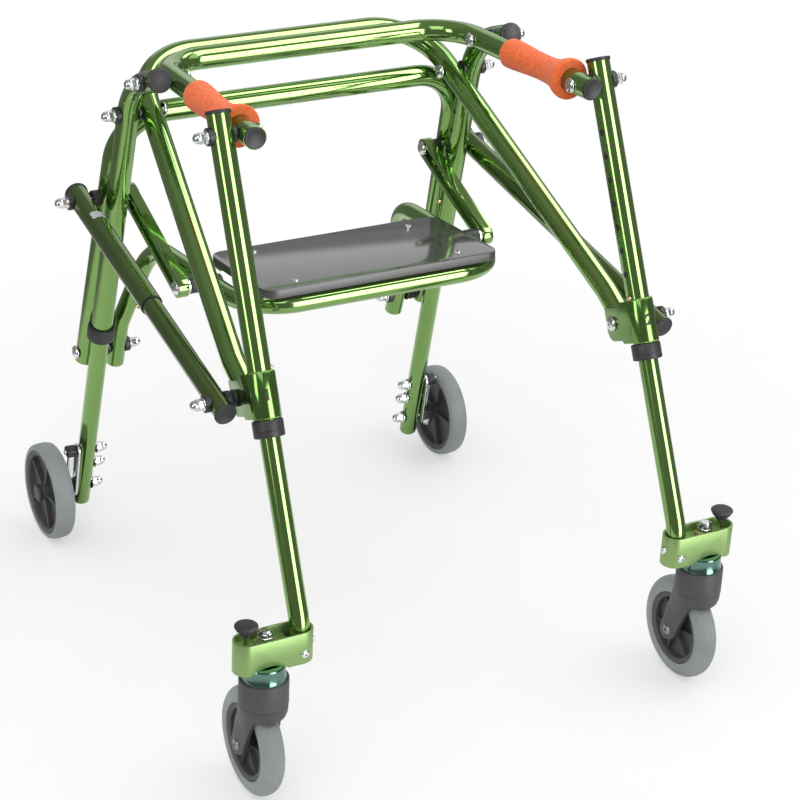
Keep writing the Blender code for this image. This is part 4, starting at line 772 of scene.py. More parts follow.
BRACE_REAR_HOLE = LINK_PIN + ACROSS * BRACE_OUT_REAR
BRACE_FRONT_HOLE = KNUCKLE + ACROSS * BRACE_OUT_FRONT
BRACE_DIRECTION = (BRACE_FRONT_HOLE - BRACE_REAR_HOLE).normalized()
BRACE_DOWN = ACROSS.cross(BRACE_DIRECTION).normalized()
BRACE_OUTWARD = BRACE_DIRECTION.cross(BRACE_DOWN)
BRACE_BUTTON_SIDE = BRACE_DOWN * cos(BRACE_BUTTON_TURN) + BRACE_OUTWARD * sin(BRACE_BUTTON_TURN)

REAR_AXLE = rear_axis(WHEEL_R)
WHEEL_BOLTS = [REAR_AXLE + REAR_UP * reach for reach in WHEEL_BOLT_UP]
CASTER_AXLE = Vector((CASTER_X, CASTER_Y + CASTER_TRAIL, WHEEL_R))
SEAT_NORMAL = Vector((0, SEAT_TILT, 1)).normalized()


def seat_axis(y):
    run = y - SEAT_FRONT_Y
    slope = (SEAT_BACK_X - SEAT_HALF) / (SEAT_BACK_Y - SEAT_FRONT_Y)
    return Vector((SEAT_HALF + slope * run, y, SEAT_FRONT_Z - SEAT_TILT * run))


def seat_point(x, y, height=0):
    return with_x(seat_axis(y), x) + SEAT_NORMAL * height


SEAT_BACK = seat_axis(SEAT_BACK_Y)
SEAT_PIVOT = SEAT_PIVOT_LEG - ACROSS * SEAT_PIVOT_INBOARD
SEAT_DOWN = (with_x(SEAT_PIVOT, 0) - with_x(SEAT_BACK, 0)).normalized()
LINK_BOLT = seat_axis(LINK_LOW_Y)


# Small shared shapes, each with its flat side at z = 0


def dome_head_shape(radius=HEAD_R, height=HEAD_HEIGHT, socket=0.0023):
    """A button head with a hexagon socket."""
    rim = [(0, 0), (radius * 0.97, 0), (radius, height * 0.06), (radius, height * 0.14)]
    top = [(socket + (radius - socket) * cos(a), height * (0.14 + 0.86 * sin(a))) for a in quarter_turn(6)]
    head = lathe(rim + top + [(0, height)], sides=24)
    return cut(head, prism(hexagon(socket), height * 0.45, height * 2))


def hexagon(radius):
    return arc((0, 0), radius, 0, 300, 5)


def acorn_shape():
    """Flanged hexagon nut with a domed end."""
    flange = lathe([(0, 0), (NUT_FLANGE_R * 0.96, 0), (NUT_FLANGE_R, 0.0004), (NUT_FLANGE_R, 0.0013),
                    (NUT_FLANGE_R * 0.93, NUT_FLANGE), (0, NUT_FLANGE)], sides=28)
    top, dome_r = NUT_FLANGE + NUT_BODY, NUT_R * 0.87
    levels = [(NUT_R * 0.97, NUT_FLANGE * 0.8), (NUT_R, NUT_FLANGE + 0.0006), (NUT_R, top - 0.0014),
              (NUT_R * 0.86, top)]
    body = loft([[(x, y, z) for x, y in hexagon(r)] for r, z in levels])
    low, rise = top + 0.0004, NUT_DOME - 0.0004
    dome = [(0, top - 0.001), (dome_r, top - 0.001), (dome_r, low)]
    dome += [(dome_r * cos(a), low + rise * sin(a)) for a in quarter_turn(7)]
    return joined(flange, body, lathe(dome, sides=28))


def disc_shape(radius, low, high, edge=0.0006, sides=32):
    return lathe([(0, low), (radius - edge, low), (radius, low + edge), (radius, high - edge),
                  (radius - edge, high), (0, high)], sides=sides)


def plug_shape(radius=CAP_R, half=CAP_HEIGHT / 2):
    """Flange of a tube plug, with a slightly dished face."""
    return lathe([(0, -half), (radius - 0.0006, -half), (radius, -half + 0.0006), (radius, half - 0.0009),
                  (radius - 0.0009, half), (radius - 0.0022, half), (radius - 0.0028, half - 0.0003),
                  (0, half - 0.0005)])


DOME_HEAD, ACORN = dome_head_shape(), acorn_shape()


def on_x(mesh, point, x, side=1):
    """The shape set on the X axis through a point, flat side at x, facing side."""
    return moved(mesh.copy(), aimed(with_x(point, x), ACROSS * side))


def saddle(point, flat_x, path, tube_r):
    """A round washer on a bolt, flat at flat_x, whose other side fits a tube."""
    side = 1 if flat_x > point.x else -1
    washer = disc_shape(DISC_R, tube_r - SADDLE_WING, abs(flat_x - point.x))
    return cut(on_x(washer, point, point.x, side), tube(path, tube_r + SEAT_GAP, 32))


def straight(point, direction):
    return [point - direction * DISC_R * 2, point + direction * DISC_R * 2]


def flare_gap(direction):
    return SEAT_GAP + DISC_R * abs(direction.x) / sqrt(1 - direction.x**2)


def shank(point, start, end, radius=BOLT_R):
    return on_x(disc_shape(radius, 0, end - start, 0.0003, 20), point, start)


def nut_at(point, x, side=1):
    return scattered(ACORN, [(with_x(point, x), ACROSS * side)], CHROME)


def head_at(point, x, side=-1):
    return scattered(DOME_HEAD, [(with_x(point, x), ACROSS * side)], CHROME)


def tube_pivot(name, point, outer_path, inner_direction, body, node, through_inner=True):
    """Black spacer and saddle washer, and the plated bolt and nut, between two tubes."""
    inner_x, gap = point.x - PIVOT_PITCH, flare_gap(inner_direction)
    flat = point.x + FRAME_R + WASHER_THICK
    washers = joined(
        saddle(point, inner_x + FRAME_R + gap, outer_path, FRAME_R), saddle(point, flat, outer_path, FRAME_R)
    )
    start = inner_x + FRAME_R + gap + SEAT_GAP
    steel = [nut_at(point, flat - SEAT_GAP)]
    if through_inner:
        head_x = inner_x - FRAME_R - gap
        steel.append(head_at(point, head_x))
        start = head_x - HEAD_HEIGHT / 4
    steel.append(shank(point, start, flat))
    pair(name + "_washers", washers, BLACK, body)
    pair(name + "_bolt", joined(*steel), CHROME, body, node)


# Rear frame


def make_hoop():
    low = hoop_axis(HOOP_END_Z)
    hoop = bent_tube([low, hoop_axis(HOOP_Z)], [HOOP_BEND_R], FRAME_R)
    for end in (low, with_x(low, -low.x)):
        hoop = opened(hoop, end, TUBE_WALL, 0.014)
    piece("hoop_tube", hoop, GREEN, "rear_frame", "rear_hoop")

    beads = []
    for seed, (low_z, high_z) in enumerate(HOOP_WELDS):
        heights = [low_z + (high_z - low_z) * step / 8 for step in range(9)]
        for side in (-1, 1):
            aside = ACROSS * side * HOOP_WELD_SIDE
            line = [(rear_axis(z) + hoop_axis(z)) / 2 + aside for z in heights]
            beads.append(weld(line, 0.0019, 0.0016, seed))
    pair("hoop_weld", joined(*beads), WELD, "rear_frame")


def make_uprights():
    bottom = rear_axis(UPRIGHT_BOTTOM)
    bore_depth = (rear_axis(UPRIGHT_BORE_TOP) - bottom).length
    upright = opened(tube(UPRIGHT_PATH, FRAME_R), bottom, BORE_WALL, bore_depth)
    first = rear_axis(REAR_BUTTON_Z)
    row = (first, REAR_UP * HOLE_PITCH, REAR_HOLES + 1, -ACROSS)
    upright = drilled(upright, *row)
    pair("upright_tube", upright, GREEN, "rear_frame", "upright")
    # Black discs in the upright's holes: painted shade.
    pair("upright_holes", hole_shade_discs(*row), BLACK, "rear_frame")
    pair("upright_plug", moved(plug_shape(), aimed(UPRIGHT_END, STUB_DIRECTION)), BLACK, "rear_frame")

    reach = HOOP_UP * 0.04
    beside = hoop_axis(bottom.z)
    ring = cut(collar(bottom, REAR_UP), tube([beside - reach, beside + reach], FRAME_R + SEAT_GAP))
    pair("rear_collar_ring", ring, BLACK, "rear_frame", "rear_collar")
    pair("rear_button_dome", snap_button(first, -ACROSS), BRASS, "rear_button", "rear_snap_button")


def collar(tube_end, up):
    """Stepped ring on the lower end of an outer tube."""
    grip_r, lip_r, top = FRAME_R + SEAT_GAP, LEG_R + SEAT_GAP, COLLAR_LIP + COLLAR_GRIP
    step = COLLAR_LIP - SEAT_GAP
    profile = [(lip_r, 0.0006), (lip_r, step), (grip_r, step), (grip_r, top - 0.0004), (grip_r + 0.0005, top),
               (COLLAR_R - 0.0011, top), (COLLAR_R - 0.0003, top - 0.0005), (COLLAR_R, top - 0.0014),
               (COLLAR_R, COLLAR_LIP + 0.0006), (COLLAR_R - 0.0004, COLLAR_LIP), (COLLAR_R, COLLAR_LIP - 0.0006),
               (COLLAR_R, 0.0012), (COLLAR_R - 0.0004, 0.0004), (COLLAR_R - 0.0012, 0), (lip_r + 0.0006, 0)]
    return lathe(profile, aimed(tube_end - up * COLLAR_LIP, up), 48, ring=True)


def snap_button(point, direction, play=0.00015):
    """A domed button in its hole, with play all round."""
    height, radius = FRAME_R + BUTTON_PROUD - BORE_R, HOLE_R - play
    profile = [(0, 0), (radius, 0), (radius, height * 0.55)]
    profile += [(radius * cos(a), height * (0.55 + 0.45 * sin(a))) for a in quarter_turn(6)]
    return lathe(profile, aimed(point + direction * BORE_R, direction), 20)


def make_upright_pivots():
    tube_pivot("handle_pivot", HANDLE_REAR_PIVOT, UPRIGHT_PATH, HANDLE_DIRECTION, "rear_frame", "handle_pivot")
    tube_pivot("diagonal_pivot", DIAGONAL_PIVOT, UPRIGHT_PATH, DIAGONAL_FLARE, "rear_frame", "diagonal_pivot")
    pin, path = LINK_PIN, straight(LINK_PIN, HOOP_UP)
    link_face, head_x = LINK_INNER_X + LINK_DEPTH + SEAT_GAP, LINK_INNER_X - SEAT_GAP
    brace_face = BRACE_REAR_HOLE.x - FRAME_R - flare_gap(BRACE_DIRECTION)
    spacers = joined(saddle(pin, link_face, path, FRAME_R), saddle(pin, brace_face, path, FRAME_R))
    pair("brace_pivot_spacers", spacers, BLACK, "rear_frame")
    end = BRACE_REAR_HOLE.x + FRAME_R + WASHER_THICK / 2
    bolt = joined(head_at(pin, head_x), shank(pin, head_x, end))
    pair("brace_pivot_bolt", bolt, CHROME, "rear_frame", "brace_pivot")


# Lower rear legs and rear wheels


def make_rear_legs():
    low = rear_axis(REAR_LEG_BOTTOM)
    length = (rear_axis(REAR_LEG_TOP) - low).length
    foot = [(LEG_R * sin(a), LEG_R * 0.6 * (1 - cos(a))) for a in quarter_turn(7, 0)]
    leg = lathe(foot + [(LEG_R, length), (0, length)], aimed(low, REAR_UP))
    leg = drilled(leg, rear_axis(REAR_BUTTON_Z), REAR_UP, 1, -ACROSS)
    pair("rear_leg_tube", leg, GREEN, "rear_leg", "rear_leg")


def make_wheel_brackets():
    """Plate, ratchet housing with its pin, axle and bolts beside the rear wheel."""
    local = axes_at(REAR_AXLE, REAR_BACK, REAR_UP, REAR_BACK.cross(REAR_UP))
    top = (WHEEL_BOLTS[-1] - REAR_AXLE).length
    inner = LEG_R + SEAT_GAP
    outline = arc((0, 0), 0.0132, 180, 360, 16) + arc((0, top), 0.0092, 0, 180, 12)
    plate = eased(prism(outline, inner, inner + BRACKET_PLATE, local), 0.0005)
    pawl = box((-0.0022, 0.0177, 0.0212), (0.0022, top, 0.0240), local)
    end_x, inner_x = REAR_WHEEL_X + HUB_BOSS_HALF + SEAT_GAP, REAR_AXLE.x - inner
    nuts = [(with_x(bolt, bolt.x - inner), -ACROSS) for bolt in [REAR_AXLE] + WHEEL_BOLTS]
    steel = [plate, eased(pawl, 0.0004), scattered(ACORN, nuts, CHROME)]
    steel.append(shank(REAR_AXLE, inner_x, end_x, AXLE_R))
    steel += [shank(bolt, bolt.x - inner, bolt.x + LEG_R + 0.003) for bolt in WHEEL_BOLTS]
    pin_place = local @ Matrix.Translation((0, top + 0.0008, inner + 0.0015))
    steel.append(moved(disc_shape(0.0030, 0, 0.0168, 0.0006, 20), pin_place))
    pair("wheel_bracket_plate", joined(*steel), CHROME, "rear_leg", "wheel_bracket")

    housing = box((-0.0070, top - 0.0045, inner + 0.0032), (0.0070, top + 0.0060, inner + 0.0165), local)
    housing = eased(housing, 0.0022, 3)
    washer = on_x(disc_shape(0.0080, 0, 0.0012, 0.0003), REAR_AXLE, REAR_AXLE.x - LEG_R - 0.0006)
    cap = lathe([(0, 0), (0.0106, 0), (0.0112, 0.0006), (0.0112, 0.0026), (0.0096, 0.0040), (0, 0.0044)], sides=36)
    pair("ratchet_housing", joined(housing, on_x(cap, REAR_AXLE, end_x), washer), BLACK, "rear_leg")


def tyre_profile(rim=RIM_R, shoulder=TYRE_SHOULDER, flat=0.80, drop=0.42, ribs=9, depth=0.00028):
    """Tyre section with fine ribs round the tread."""
    half, crown, outer, steps = WHEEL_HALF, WHEEL_R, [], ribs * 4
    for step in range(steps + 1):
        t = -1 + 2 * step / steps
        base = crown - shoulder * drop * abs(t) ** 2.6
        outer.append((base - (depth if step % 4 == 2 else 0.0), half * flat * t))
    side = [(crown - shoulder * 0.62, half * 0.93), (crown - shoulder, half), ((crown - shoulder + rim) / 2, half),
            (rim + 0.0010, half * 0.985), (rim, half * 0.93)]
    return [(r, -x) for r, x in reversed(side)] + outer + side


def hub_profile(low, high, recess, rim):
    """Moulded hub: boss, web and stepped rim; low and high are the ends of its boss."""
    rim, half = rim - SEAT_GAP, WHEEL_HALF - 0.0015
    bore = AXLE_R + 0.0002
    side = [(0.0104, recess + 0.0008), (0.0125, recess), (rim - 0.0094, recess), (rim - 0.0074, recess + 0.0010),
            (rim - 0.0061, half - 0.0016), (rim - 0.0051, half - 0.0006), (rim - 0.0019, half), (rim - 0.0007, half),
            (rim, half - 0.0006)]
    top, end = [(bore, high), (0.0094, high), (0.0100, high - 0.0005)], [(0.0100, low + 0.0005), (0.0094, low)]
    return top + side + [(r, -z) for r, z in reversed(side)] + end + [(bore, low)]


def hub_shape(low, high, recess=0.0026, ribs=6, rim=RIM_R, thick=0.0007):
    hub = lathe(hub_profile(low, high, recess, rim), sides=64, ring=True)
    reach, edge = rim - 0.0065, WHEEL_HALF - 0.0042
    rib = joined(box((0.0095, -thick, 0.5 * recess), (reach, thick, edge)),
                 box((0.0095, -thick, -edge), (reach, thick, -0.5 * recess)))
    return joined(hub, radial(rib, ribs, DARK, start=0.3))


def make_rear_wheels():
    place = aimed(with_x(REAR_AXLE, REAR_WHEEL_X), ACROSS)
    tread = tyre_profile(REAR_RIM_R, 0.0052, 0.84, 0.34, 9, 0.00012)
    pair("rear_tyre_tread", lathe(tread, place, 96, ring=True), TYRE, "rear_wheel", "rear_tyre")
    boss_low = REAR_AXLE.x + LEG_R + SEAT_GAP + 0.0035 - REAR_WHEEL_X
    hub = moved(hub_shape(boss_low, HUB_BOSS_HALF, 0.0020, 5, REAR_RIM_R, 0.0016), place)
    pair("rear_hub_moulding", hub, DARK, "rear_wheel", "rear_hub")
    tooth = prism([(0.0146, -0.0013), (0.0172, -0.0004), (0.0172, 0.0004), (0.0146, 0.0013)], 0, 0.0036)
    core = lathe([(0.0098, 0), (0.0150, 0), (0.0150, 0.0036), (0.0098, 0.0036)], sides=56, ring=True)
    gear = joined(core, radial(tooth, 26, CHROME))
    pair("ratchet_ring", moved(gear, aimed(with_x(REAR_AXLE, 0.2562), ACROSS)), CHROME, "rear_wheel")


# Front legs


def on_leg(point):
    """A frame at a point of the front leg: X across, Y back, Z up the leg."""
    return axes_at(point, FRONT_BACK.cross(FRONT_UP), FRONT_BACK, FRONT_UP)


def make_front_legs():
    low, top = front_axis(FRONT_TUBE_LOW), front_axis(FRONT_LEG_TOP)
    row = (FRONT_BUTTON, FRONT_UP * HOLE_PITCH, FRONT_HOLES + 1, FRONT_HOLE_SIDE)
    leg = opened(tube([low, top], FRAME_R), low, BORE_WALL, (top - low).length * 0.97)
    pair("front_leg_tube", drilled(leg, *row), GREEN, "front_leg", "front_leg")
    # Black discs in the front leg's holes: painted shade.
    pair("front_leg_holes", hole_shade_discs(*row), BLACK, "front_leg")
    pair("front_leg_plug", moved(plug_shape(), aimed(top, FRONT_UP)), BLACK, "front_leg")
    pair("front_collar_ring", collar(low, FRONT_UP), BLACK, "front_leg", "front_collar")
    button = snap_button(FRONT_BUTTON, FRONT_HOLE_SIDE, 0.0006)
    pair("front_button_dome", button, BRASS, "front_button", "front_snap_button")


def make_knuckle_brackets():
    """U-shaped bracket round the leg, open behind for the diagonal brace, with its welds."""
    wall_r, ear_x = FRAME_R + EAR_GAP + BRACKET_WALL, FRAME_R + EAR_GAP
    reach, web = EAR_OFFSET + EAR_PAST_BOLT, FRAME_R * 0.25
    outline = arc((0, 0), wall_r, 180, 360, 28)
    outline += [(wall_r, reach), (ear_x, reach), (ear_x, web), (-ear_x, web), (-ear_x, reach), (-wall_r, reach)]
    middle = front_axis(BRACKET_MID_Z)
    high = BRACKET_HEIGHT / 2
    bracket = prism(outline, -high, high, on_leg(middle))
    side_view = axes_at(middle, FRONT_BACK, FRONT_UP, FRONT_BACK.cross(FRONT_UP))
    past, ear_top = reach * 1.2, high - EAR_DROP
    ear_low = ear_top - EAR_HEIGHT
    above = [(wall_r, high * 1.1), (past, high * 1.1), (past, ear_top), (wall_r + EAR_DROP, ear_top)]
    corner = (reach - EAR_CORNER_R, ear_low + EAR_CORNER_R)
    below = [(wall_r, -high * 1.1), (wall_r + EAR_DROP, ear_low)] + arc(corner, EAR_CORNER_R, -90, 0, 8)
    below += [(past, corner[1]), (past, -high * 1.1)]
    bracket = cut(bracket, *[prism(shape, -2 * wall_r, 2 * wall_r, side_view) for shape in (above, below)])
    # The bracket's darker green is painted shade.
    pair("knuckle_bracket", eased(bracket, 0.0006), BRACKET, "front_leg")

    beads = []
    for seed, end in enumerate((-high, high)):
        ring = [on_leg(middle + FRONT_UP * end) @ Vector((0.0137 * cos(a), 0.0137 * sin(a), 0))
                for a in [radians(180 + 6 * k) for k in range(31)]]
        beads.append(weld(ring, 0.0016, 0.0017, seed + 5))
    pair("knuckle_weld", joined(*beads), WELD, "front_leg")

    face = wall_r + SEAT_GAP
    head_x, end_x = KNUCKLE.x - face, KNUCKLE.x + face + 0.002
    steel = joined(head_at(KNUCKLE, head_x), shank(KNUCKLE, head_x, end_x))
    pair("knuckle_bolt_head", steel, CHROME, "front_leg", "knuckle_bolt")
    spacer = on_x(disc_shape(DISC_R, face, face + KNUCKLE_SPACER), KNUCKLE, KNUCKLE.x)
    pair("knuckle_spacer", spacer, BLACK, "front_leg")


def number(digit, side, facing):
    """A printed number wrapped on the bracket's sleeve."""
    curve = bpy.data.curves.new("number", "FONT")
    curve.body, curve.size, curve.extrude, curve.offset = digit, 0.0165, 0.00008, 0.0006
    curve.align_x, curve.align_y = "CENTER", "CENTER"
    flat = evaluated(held(curve))
    made = bmesh.new()
    made.from_mesh(flat)
    bmesh.ops.remove_doubles(made, verts=made.verts, dist=1e-6)
    bmesh.ops.subdivide_edges(made, edges=[e for e in made.edges if e.calc_length() > 0.003], cuts=2)
    bmesh.ops.triangulate(made, faces=made.faces)
    radius = FRAME_R + EAR_GAP + BRACKET_WALL
    for vert in made.verts:
        x, y, z = vert.co
        angle, out = facing + x / radius, radius + 0.00008 + z
        vert.co = (out * sin(angle), -out * cos(angle), y)
    place = on_leg(front_axis(BRACKET_MID_Z))
    if side == "_left":
        flip = Matrix.Diagonal((-1, 1, 1, 1))
        place = flip @ place @ flip
    piece("bracket_number" + side, moved(mesh_of(made), place), INK, "front_leg" + side)


def make_numbers():
    number("1", "_left", radians(-7.0))
    number("2", "_right", radians(-1.0))


def make_leg_pivots():
    path = straight(HANDLE_FRONT_PIVOT, FRONT_UP)
    tube_pivot("leg_pivot", HANDLE_FRONT_PIVOT, path, HANDLE_DIRECTION, "front_leg", "leg_pivot", False)


def make_inner_legs():
    bend = Vector((LEG_BEND_X, CASTER_Y, LEG_BEND_Z))
    foot = Vector((LEG_BEND_X, CASTER_Y, ARM_BOTTOM + ARM_RISE))
    top = FRONT_BUTTON + FRONT_UP * LEG_PAST_BUTTON
    leg = tube(rounded_path([top, bend, foot], [FRONT_BEND_R]), LEG_R)
    leg = drilled(leg, FRONT_BUTTON, FRONT_UP, 1, FRONT_HOLE_SIDE)
    pair("front_inner_tube", leg, GREEN, "front_lower_leg", "front_inner_leg")


# Handle bar, grips and braces


def make_handle_bar():
    start = HANDLE_FRONT + HANDLE_DIRECTION * HANDLE_PAST_PIVOT
    bar = bent_tube([start, HANDLE_CORNER], [HANDLE_BEND_R], FRAME_R)
    piece("handle_tube", bar, GREEN, "handle", "handle_bar")
    plugs = both(moved(plug_shape(FRAME_R - 0.0006), aimed(start, HANDLE_DIRECTION)))
    piece("handle_plugs", plugs, BLACK, "handle")
    heads = both(head_at(HANDLE_FRONT, HANDLE_FRONT.x - FRAME_R + flare_gap(HANDLE_DIRECTION) / 4))
    piece("handle_bolt_heads", heads, CHROME, "handle")


def make_grips():
    """Foam sleeve: a full rear end, a waist and a rounded flange before the thumb."""
    bore, length = FRAME_R + SEAT_GAP, GRIP_LENGTH
    outer = [(0.0000, 0.0148), (0.0010, 0.0163), (0.0030, 0.0171), (0.0070, 0.0172), (0.0180, 0.0168),
             (0.0330, 0.0159), (0.0500, 0.0150), (0.0660, 0.0147), (0.0800, 0.0149), (0.0900, 0.0158),
             (0.0980, 0.0175), (0.1040, 0.0196), (0.1090, 0.0217), (0.1130, 0.0229), (0.1160, 0.0233),
             (0.1185, 0.0231), (0.1200, 0.0222), (0.1205, 0.0208)]
    profile = [(bore, 0.0004), (bore, length - 0.0004)] + [(r, z) for z, r in reversed(outer)]
    front = HANDLE_FRONT - HANDLE_DIRECTION * GRIP_FROM_PIVOT
    place = aimed(front - HANDLE_DIRECTION * length, HANDLE_DIRECTION)
    pair("foam_grip", lathe(profile, place, 56, ring=True), FOAM, "handle", "grip")


def make_diagonal_brace():
    end = KNUCKLE + DIAGONAL_DOWN * DIAGONAL_PAST_KNUCKLE
    brace = bent_tube([end, DIAGONAL_BEND, DIAGONAL_CORNER], [DIAGONAL_EASE_R, DIAGONAL_BEND_R], FRAME_R)
    piece("diagonal_tube", brace, GREEN, "diagonal_brace", "diagonal_brace")


def make_side_braces():
    along, facing = BRACE_DIRECTION, BRACE_BUTTON_SIDE
    rear = BRACE_REAR_HOLE - along * BRACE_PAST_PIVOT
    mouth = BRACE_REAR_HOLE + along * BRACE_MOUTH
    button_at = BRACE_REAR_HOLE + along * BRACE_BUTTON_AT
    outer = opened(tube([rear, mouth], FRAME_R), mouth, TUBE_WALL, 0.03)
    outer = drilled(outer, button_at, along, 1, facing)
    pair("brace_outer_tube", outer, BRACE, "side_brace_outer", "side_brace_outer")
    outer_x = BRACE_REAR_HOLE.x + FRAME_R
    fittings = joined(
        moved(plug_shape(), aimed(rear, along)),
        saddle(BRACE_REAR_HOLE, outer_x + WASHER_THICK, straight(BRACE_REAR_HOLE, along), FRAME_R),
        lathe([(FRAME_R - 0.0005, -0.0004), (FRAME_R - 0.0004, 0.0005), (LEG_R + 0.0003, 0.0007),
               (LEG_R + 0.0003, -0.002), (FRAME_R - 0.0012, -0.002)], aimed(mouth, along), 48, ring=True),
    )
    pair("brace_outer_fittings", fittings, BLACK, "side_brace_outer")
    nut = nut_at(BRACE_REAR_HOLE, outer_x + WASHER_THICK - SEAT_GAP)
    pair("brace_rear_nut", nut, CHROME, "side_brace_outer")
    pair("brace_button_dome", snap_button(button_at, facing), BRASS, "brace_button", "brace_button")

    pin, tube_x = BRACE_FRONT_HOLE, BRACE_FRONT_HOLE.x
    front = pin + along * BRACE_PAST_KNUCKLE
    inner = tube([BRACE_REAR_HOLE + along * BRACE_INNER_FROM, front], LEG_R)
    inner = drilled(inner, button_at, along, 1, facing, BRACE)
    pair("brace_inner_tube", inner, BRACE, "side_brace_inner", "side_brace_inner")
    disc_x = KNUCKLE.x + FRAME_R + EAR_GAP + BRACKET_WALL + WASHER_THICK + KNUCKLE_PLAY
    flat, path = tube_x + LEG_R + WASHER_THICK, straight(pin, along)
    fittings = joined(
        moved(plug_shape(LEG_R + 0.0010, 0.0015), aimed(front + along * 0.0015, along)),
        saddle(pin, disc_x, path, LEG_R), saddle(pin, flat, path, LEG_R),
    )
    pair("brace_inner_fittings", fittings, BLACK, "side_brace_inner")
    steel = joined(nut_at(pin, flat - SEAT_GAP), shank(pin, disc_x, flat))
    pair("brace_front_nut", steel, CHROME, "side_brace_inner")


def make_label():
    """The bare label, a band part of the way round the left outer tube."""
    place = aimed(BRACE_REAR_HOLE, BRACE_DIRECTION)
    facing = place.to_3x3().inverted() @ LABEL_FACING
    middle, radius, made = atan2(-facing.y, facing.x), FRAME_R + 0.00015, bmesh.new()
    around = [(radius * cos(a), -radius * sin(a)) for a in [middle + radians(-75 + 150 * k / 24) for k in range(25)]]
    low, high = [[made.verts.new(place @ Vector((x, y, z))) for x, y in around] for z in LABEL_ENDS]
    for corners in zip(low, low[1:], high[1:], high):
        made.faces.new(corners)
    bmesh.ops.solidify(made, geom=made.faces[:], thickness=0.00012)
    bmesh.ops.recalc_face_normals(made, faces=made.faces)
    piece("bare_label", mirrored(mesh_of(made)), LABEL, "side_brace_outer_left")


# Seat


def make_seat_frame():
    end = SEAT_PIVOT + SEAT_DOWN * SEAT_TAIL
    ease = SEAT_PIVOT - SEAT_DOWN * SEAT_EASE
    radii = [SEAT_EASE_R, SEAT_BACK_BEND_R, SEAT_FRONT_BEND_R]
    seat = bent_tube([end, ease, SEAT_BACK, seat_axis(SEAT_FRONT_Y)], radii, SEAT_R)
    for low in (end, with_x(end, -end.x)):
        seat = opened(seat, low, TUBE_WALL, 0.012)
    piece("seat_tube", seat, GREEN, "seat", "seat_frame")
    straps = []
    for y in STRAP_ROWS:
        reach, place = min(seat_axis(y).x, STRAP_REACH), aimed(seat_point(0, y), SEAT_NORMAL)
        low, high = STRAP_TOP - STRAP_THICK, STRAP_TOP
        straps.append(box((-reach, -STRAP_WIDTH / 2, low), (reach, STRAP_WIDTH / 2, high), place))
    piece("seat_straps", eased(joined(*straps), 0.0006), GREEN, "seat")


def make_seat_board():
    centre_y = (BOARD_FRONT_Y + BOARD_BACK_Y) / 2
    half_y = (seat_point(0, BOARD_BACK_Y) - seat_point(0, BOARD_FRONT_Y)).length / 2
    low = STRAP_TOP + SEAT_GAP
    board = prism(rounded_box(BOARD_HALF, half_y, BOARD_CORNER_R), low, low + BOARD_THICK,
                  aimed(seat_point(0, centre_y), SEAT_NORMAL))
    piece("seat_board_panel", eased(board, 0.0007, 2), BOARD, "seat", "seat_board")
    head = lathe([(0, 0), (0.0042, 0), (0.0040, 0.0007), (0.0030, 0.0014), (0.0012, 0.0017), (0.0011, 0.0009),
                  (0, 0.0009)], sides=24)
    places = [(seat_point(side * x, y, low + BOARD_THICK), SEAT_NORMAL)
              for x, y in zip(BOARD_BOLTS_X, STRAP_ROWS) for side in (-1, 1)]
    piece("board_bolts", scattered(head, places, CHROME), CHROME, "seat")


def make_seat_pivots():
    pin = SEAT_PIVOT
    inner_flat = pin.x - SEAT_R - WASHER_THICK
    stack_in, stack_out = pin.x + SEAT_R + SEAT_GAP, SEAT_PIVOT_LEG.x - FRAME_R - SEAT_GAP
    head_x = SEAT_PIVOT_LEG.x + FRAME_R + SEAT_GAP
    steel = joined(nut_at(pin, inner_flat + SEAT_GAP, -1), head_at(SEAT_PIVOT_LEG, head_x, 1),
                   shank(pin, inner_flat, head_x))
    pair("seat_pivot_bolt", steel, CHROME, "rear_frame", "seat_pivot")
    step, radii = (stack_out - stack_in) / 5, (DISC_R, DISC_R * 0.85)
    rings = [on_x(disc_shape(radii[k % 2], 0, step), pin, stack_in + step * k) for k in range(5)]
    pair("seat_pivot_spacers", joined(*rings), BLACK, "rear_frame")
    washer = saddle(pin, inner_flat, straight(pin, SEAT_DOWN), SEAT_R)
    piece("seat_pivot_saddles", both(washer), BLACK, "seat")


def make_seat_links():
    """Slotted bar with a groove along both faces, its lower bolt, washer and spacer."""
    reach = with_x(LINK_PIN, 0) - with_x(LINK_BOLT, 0)
    along, length = reach.normalized(), reach.length
    place = axes_at(with_x(LINK_BOLT, LINK_INNER_X), along, ACROSS.cross(along), ACROSS)
    half, far = LINK_WIDTH / 2, length + LINK_SLOT_R
    near = far - LINK_TRAVEL - 2 * LINK_SLOT_R
    groove_r, deep = half - LINK_WALL, LINK_DEPTH
    bar = prism(stadium(-half, far + half - LINK_SLOT_R, half), 0, deep, place)
    outer = prism(stadium(HEAD_R, length + half, groove_r), deep - LINK_GROOVE, deep * 2, place)
    inner = prism(stadium(-half, length - HEAD_R, groove_r), -deep, LINK_GROOVE, place)
    slot = prism(stadium(near - 0.0012, far, LINK_SLOT_R + 0.0004), -deep, deep * 2, place)
    bar = eased(cut(bar, outer, inner, slot), 0.0006, 3)
    pair("link_channel", bar, GREEN, "seat_link", "seat_link")
    bolt, nut_x = LINK_BOLT, LINK_BOLT.x - SEAT_R - 2 * SEAT_GAP
    outer_x, washer_in = LINK_INNER_X + LINK_DEPTH - SEAT_GAP, LINK_INNER_X - WASHER_THICK
    rod = shank(bolt, nut_x, LINK_INNER_X + deep / 2)
    disc = on_x(disc_shape(DISC_R * 0.9, 0, WASHER_THICK, 0.0004), bolt, washer_in)
    steel = joined(head_at(bolt, nut_x), head_at(bolt, outer_x, 1), rod, disc)
    pair("link_bolt_heads", steel, CHROME, "seat_link")
    spacer = saddle(bolt, washer_in, straight(bolt, Vector((0, -1, SEAT_TILT)).normalized()), SEAT_R)
    pair("link_spacer", spacer, BLACK, "seat_link")


# Casters


def on_swivel(z=0.0):
    return Matrix.Translation((CASTER_X, CASTER_Y, z))


